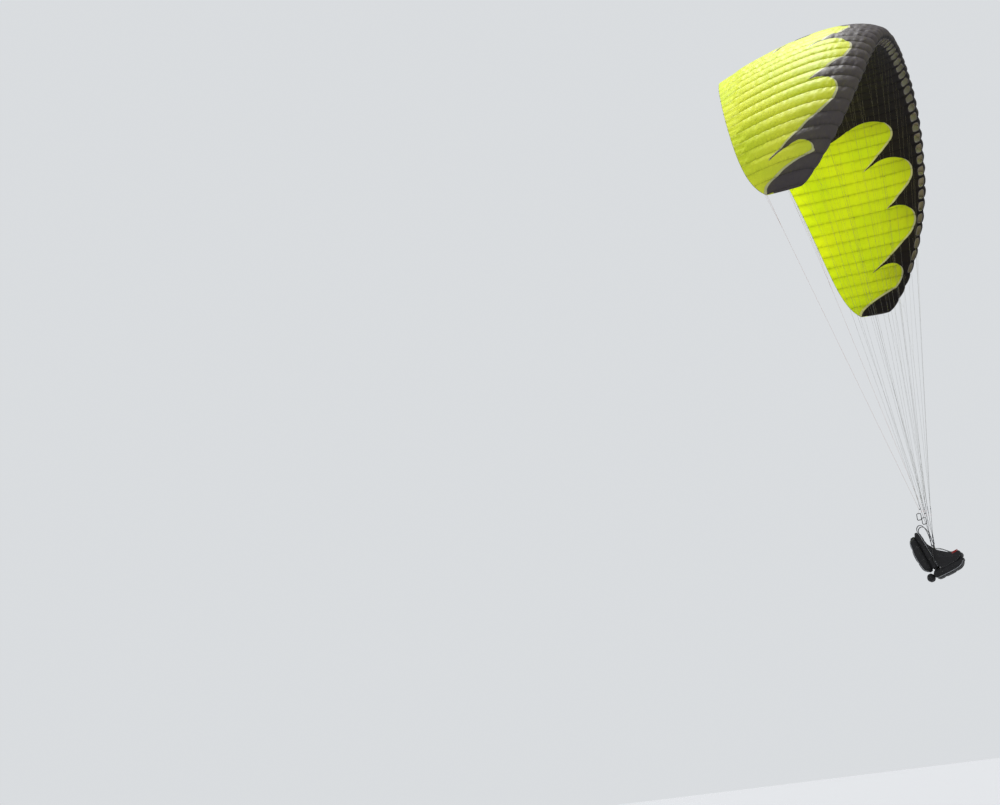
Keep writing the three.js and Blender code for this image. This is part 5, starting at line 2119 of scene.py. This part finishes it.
@dataclass
class Studio:
    """A pale floor, soft light and a camera at the photograph's viewing angle."""

    spot: tuple[float, float, float] = (2.894, -28.423, -11.428)
    lens: float = 62.017
    right: tuple[float, float, float] = (0.92488851, 0.36049008, -0.1209469)
    up: tuple[float, float, float] = (0.19299058, -0.17098193, 0.96618829)
    ahead: tuple[float, float, float] = (-0.32762156, 0.91695806, 0.22771042)
    floor_level: float = -13.5
    floor_half: float = 300.0
    sky: float = 0.90
    sky_colour: str = "#E4E7EA"
    suns: tuple[tuple[str, tuple[float, float, float], float, float], ...] = (
        ("key", (-0.14, 0.26, 0.955), 6.4, 8), ("front_fill", (0.33, -0.94, 0.06), 0.9, 60))

    @staticmethod
    def hang(name: str, data: bpy.types.ID, axes: list[Array], spot: Array) -> bpy.types.Object:
        """Put a lamp or camera into the scene.

        Args:
            name: Its name.
            data: The lamp or camera.
            axes: Its own X, Y and Z directions.
            spot: Its place.

        Returns:
            The object.
        """
        holder = bpy.data.objects.new(name, data)
        matrix = np.eye(4)
        matrix[:3, :3], matrix[:3, 3] = np.transpose(axes), spot
        holder.matrix_world = Matrix(matrix.tolist())
        bpy.context.scene.collection.objects.link(holder)
        return holder

    def build(self) -> None:
        """Set up the camera, a large soft sun with a weak fill, a pale sky and the floor."""
        scene = bpy.context.scene
        scene.view_settings.view_transform = "Standard"
        eye = bpy.data.cameras.new("camera")
        eye.lens, eye.sensor_width, eye.clip_end = self.lens, 36.0, 400.0
        axes = [self.right, self.up, [-v for v in self.ahead]]
        scene.camera = self.hang("camera", eye, axes, self.spot)
        for name, direction, power, softness in self.suns:
            lamp = bpy.data.lights.new(name, "SUN")
            lamp.energy, lamp.angle = power, float(np.radians(softness))
            back = unit(np.array(direction))
            side = unit(np.cross(ACROSS, back))
            self.hang(name, lamp, [side, np.cross(back, side), back], np.zeros(3))
        scene.world = bpy.data.worlds.new("studio")
        scene.world.use_nodes = True
        back = scene.world.node_tree.nodes["Background"]
        back.inputs[0].default_value, back.inputs[1].default_value = linear(self.sky_colour), self.sky
        shape = Shape()
        corners = np.array([[-1, -1, 0], [1, -1, 0], [1, 1, 0], [-1, 1, 0]])
        shape.add(corners * self.floor_half + UP * self.floor_level, [[0, 1, 2, 3]])
        shape.build("studio_floor", "", "", [Finishes.FLOOR])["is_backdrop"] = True


def main() -> None:
    """Build every piece in order and report each one."""
    logging.basicConfig(level=logging.INFO, format="%(message)s")
    Studio().build()
    form = WingForm()
    tab_rows = {row.at: row.tab_ribs() for row in LINE_ROWS}
    tab_rows[1.0] = [rib for group in BRAKE_GROUPS for rib in group]
    Canopy(form, tab_rows).build()
    for side in Side:
        Rigging(side, form).build()
    Harness().build()
    for piece in Shape.made:
        LOG.info("%s: %d faces", piece.name, len(piece.data.polygons))
    boxes = {"cad": CAD_BOX, "visual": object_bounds()}
    {k: [[float(x) for x in corner] for corner in v] for k, v in boxes.items()}


if __name__ == "__main__":
    main()
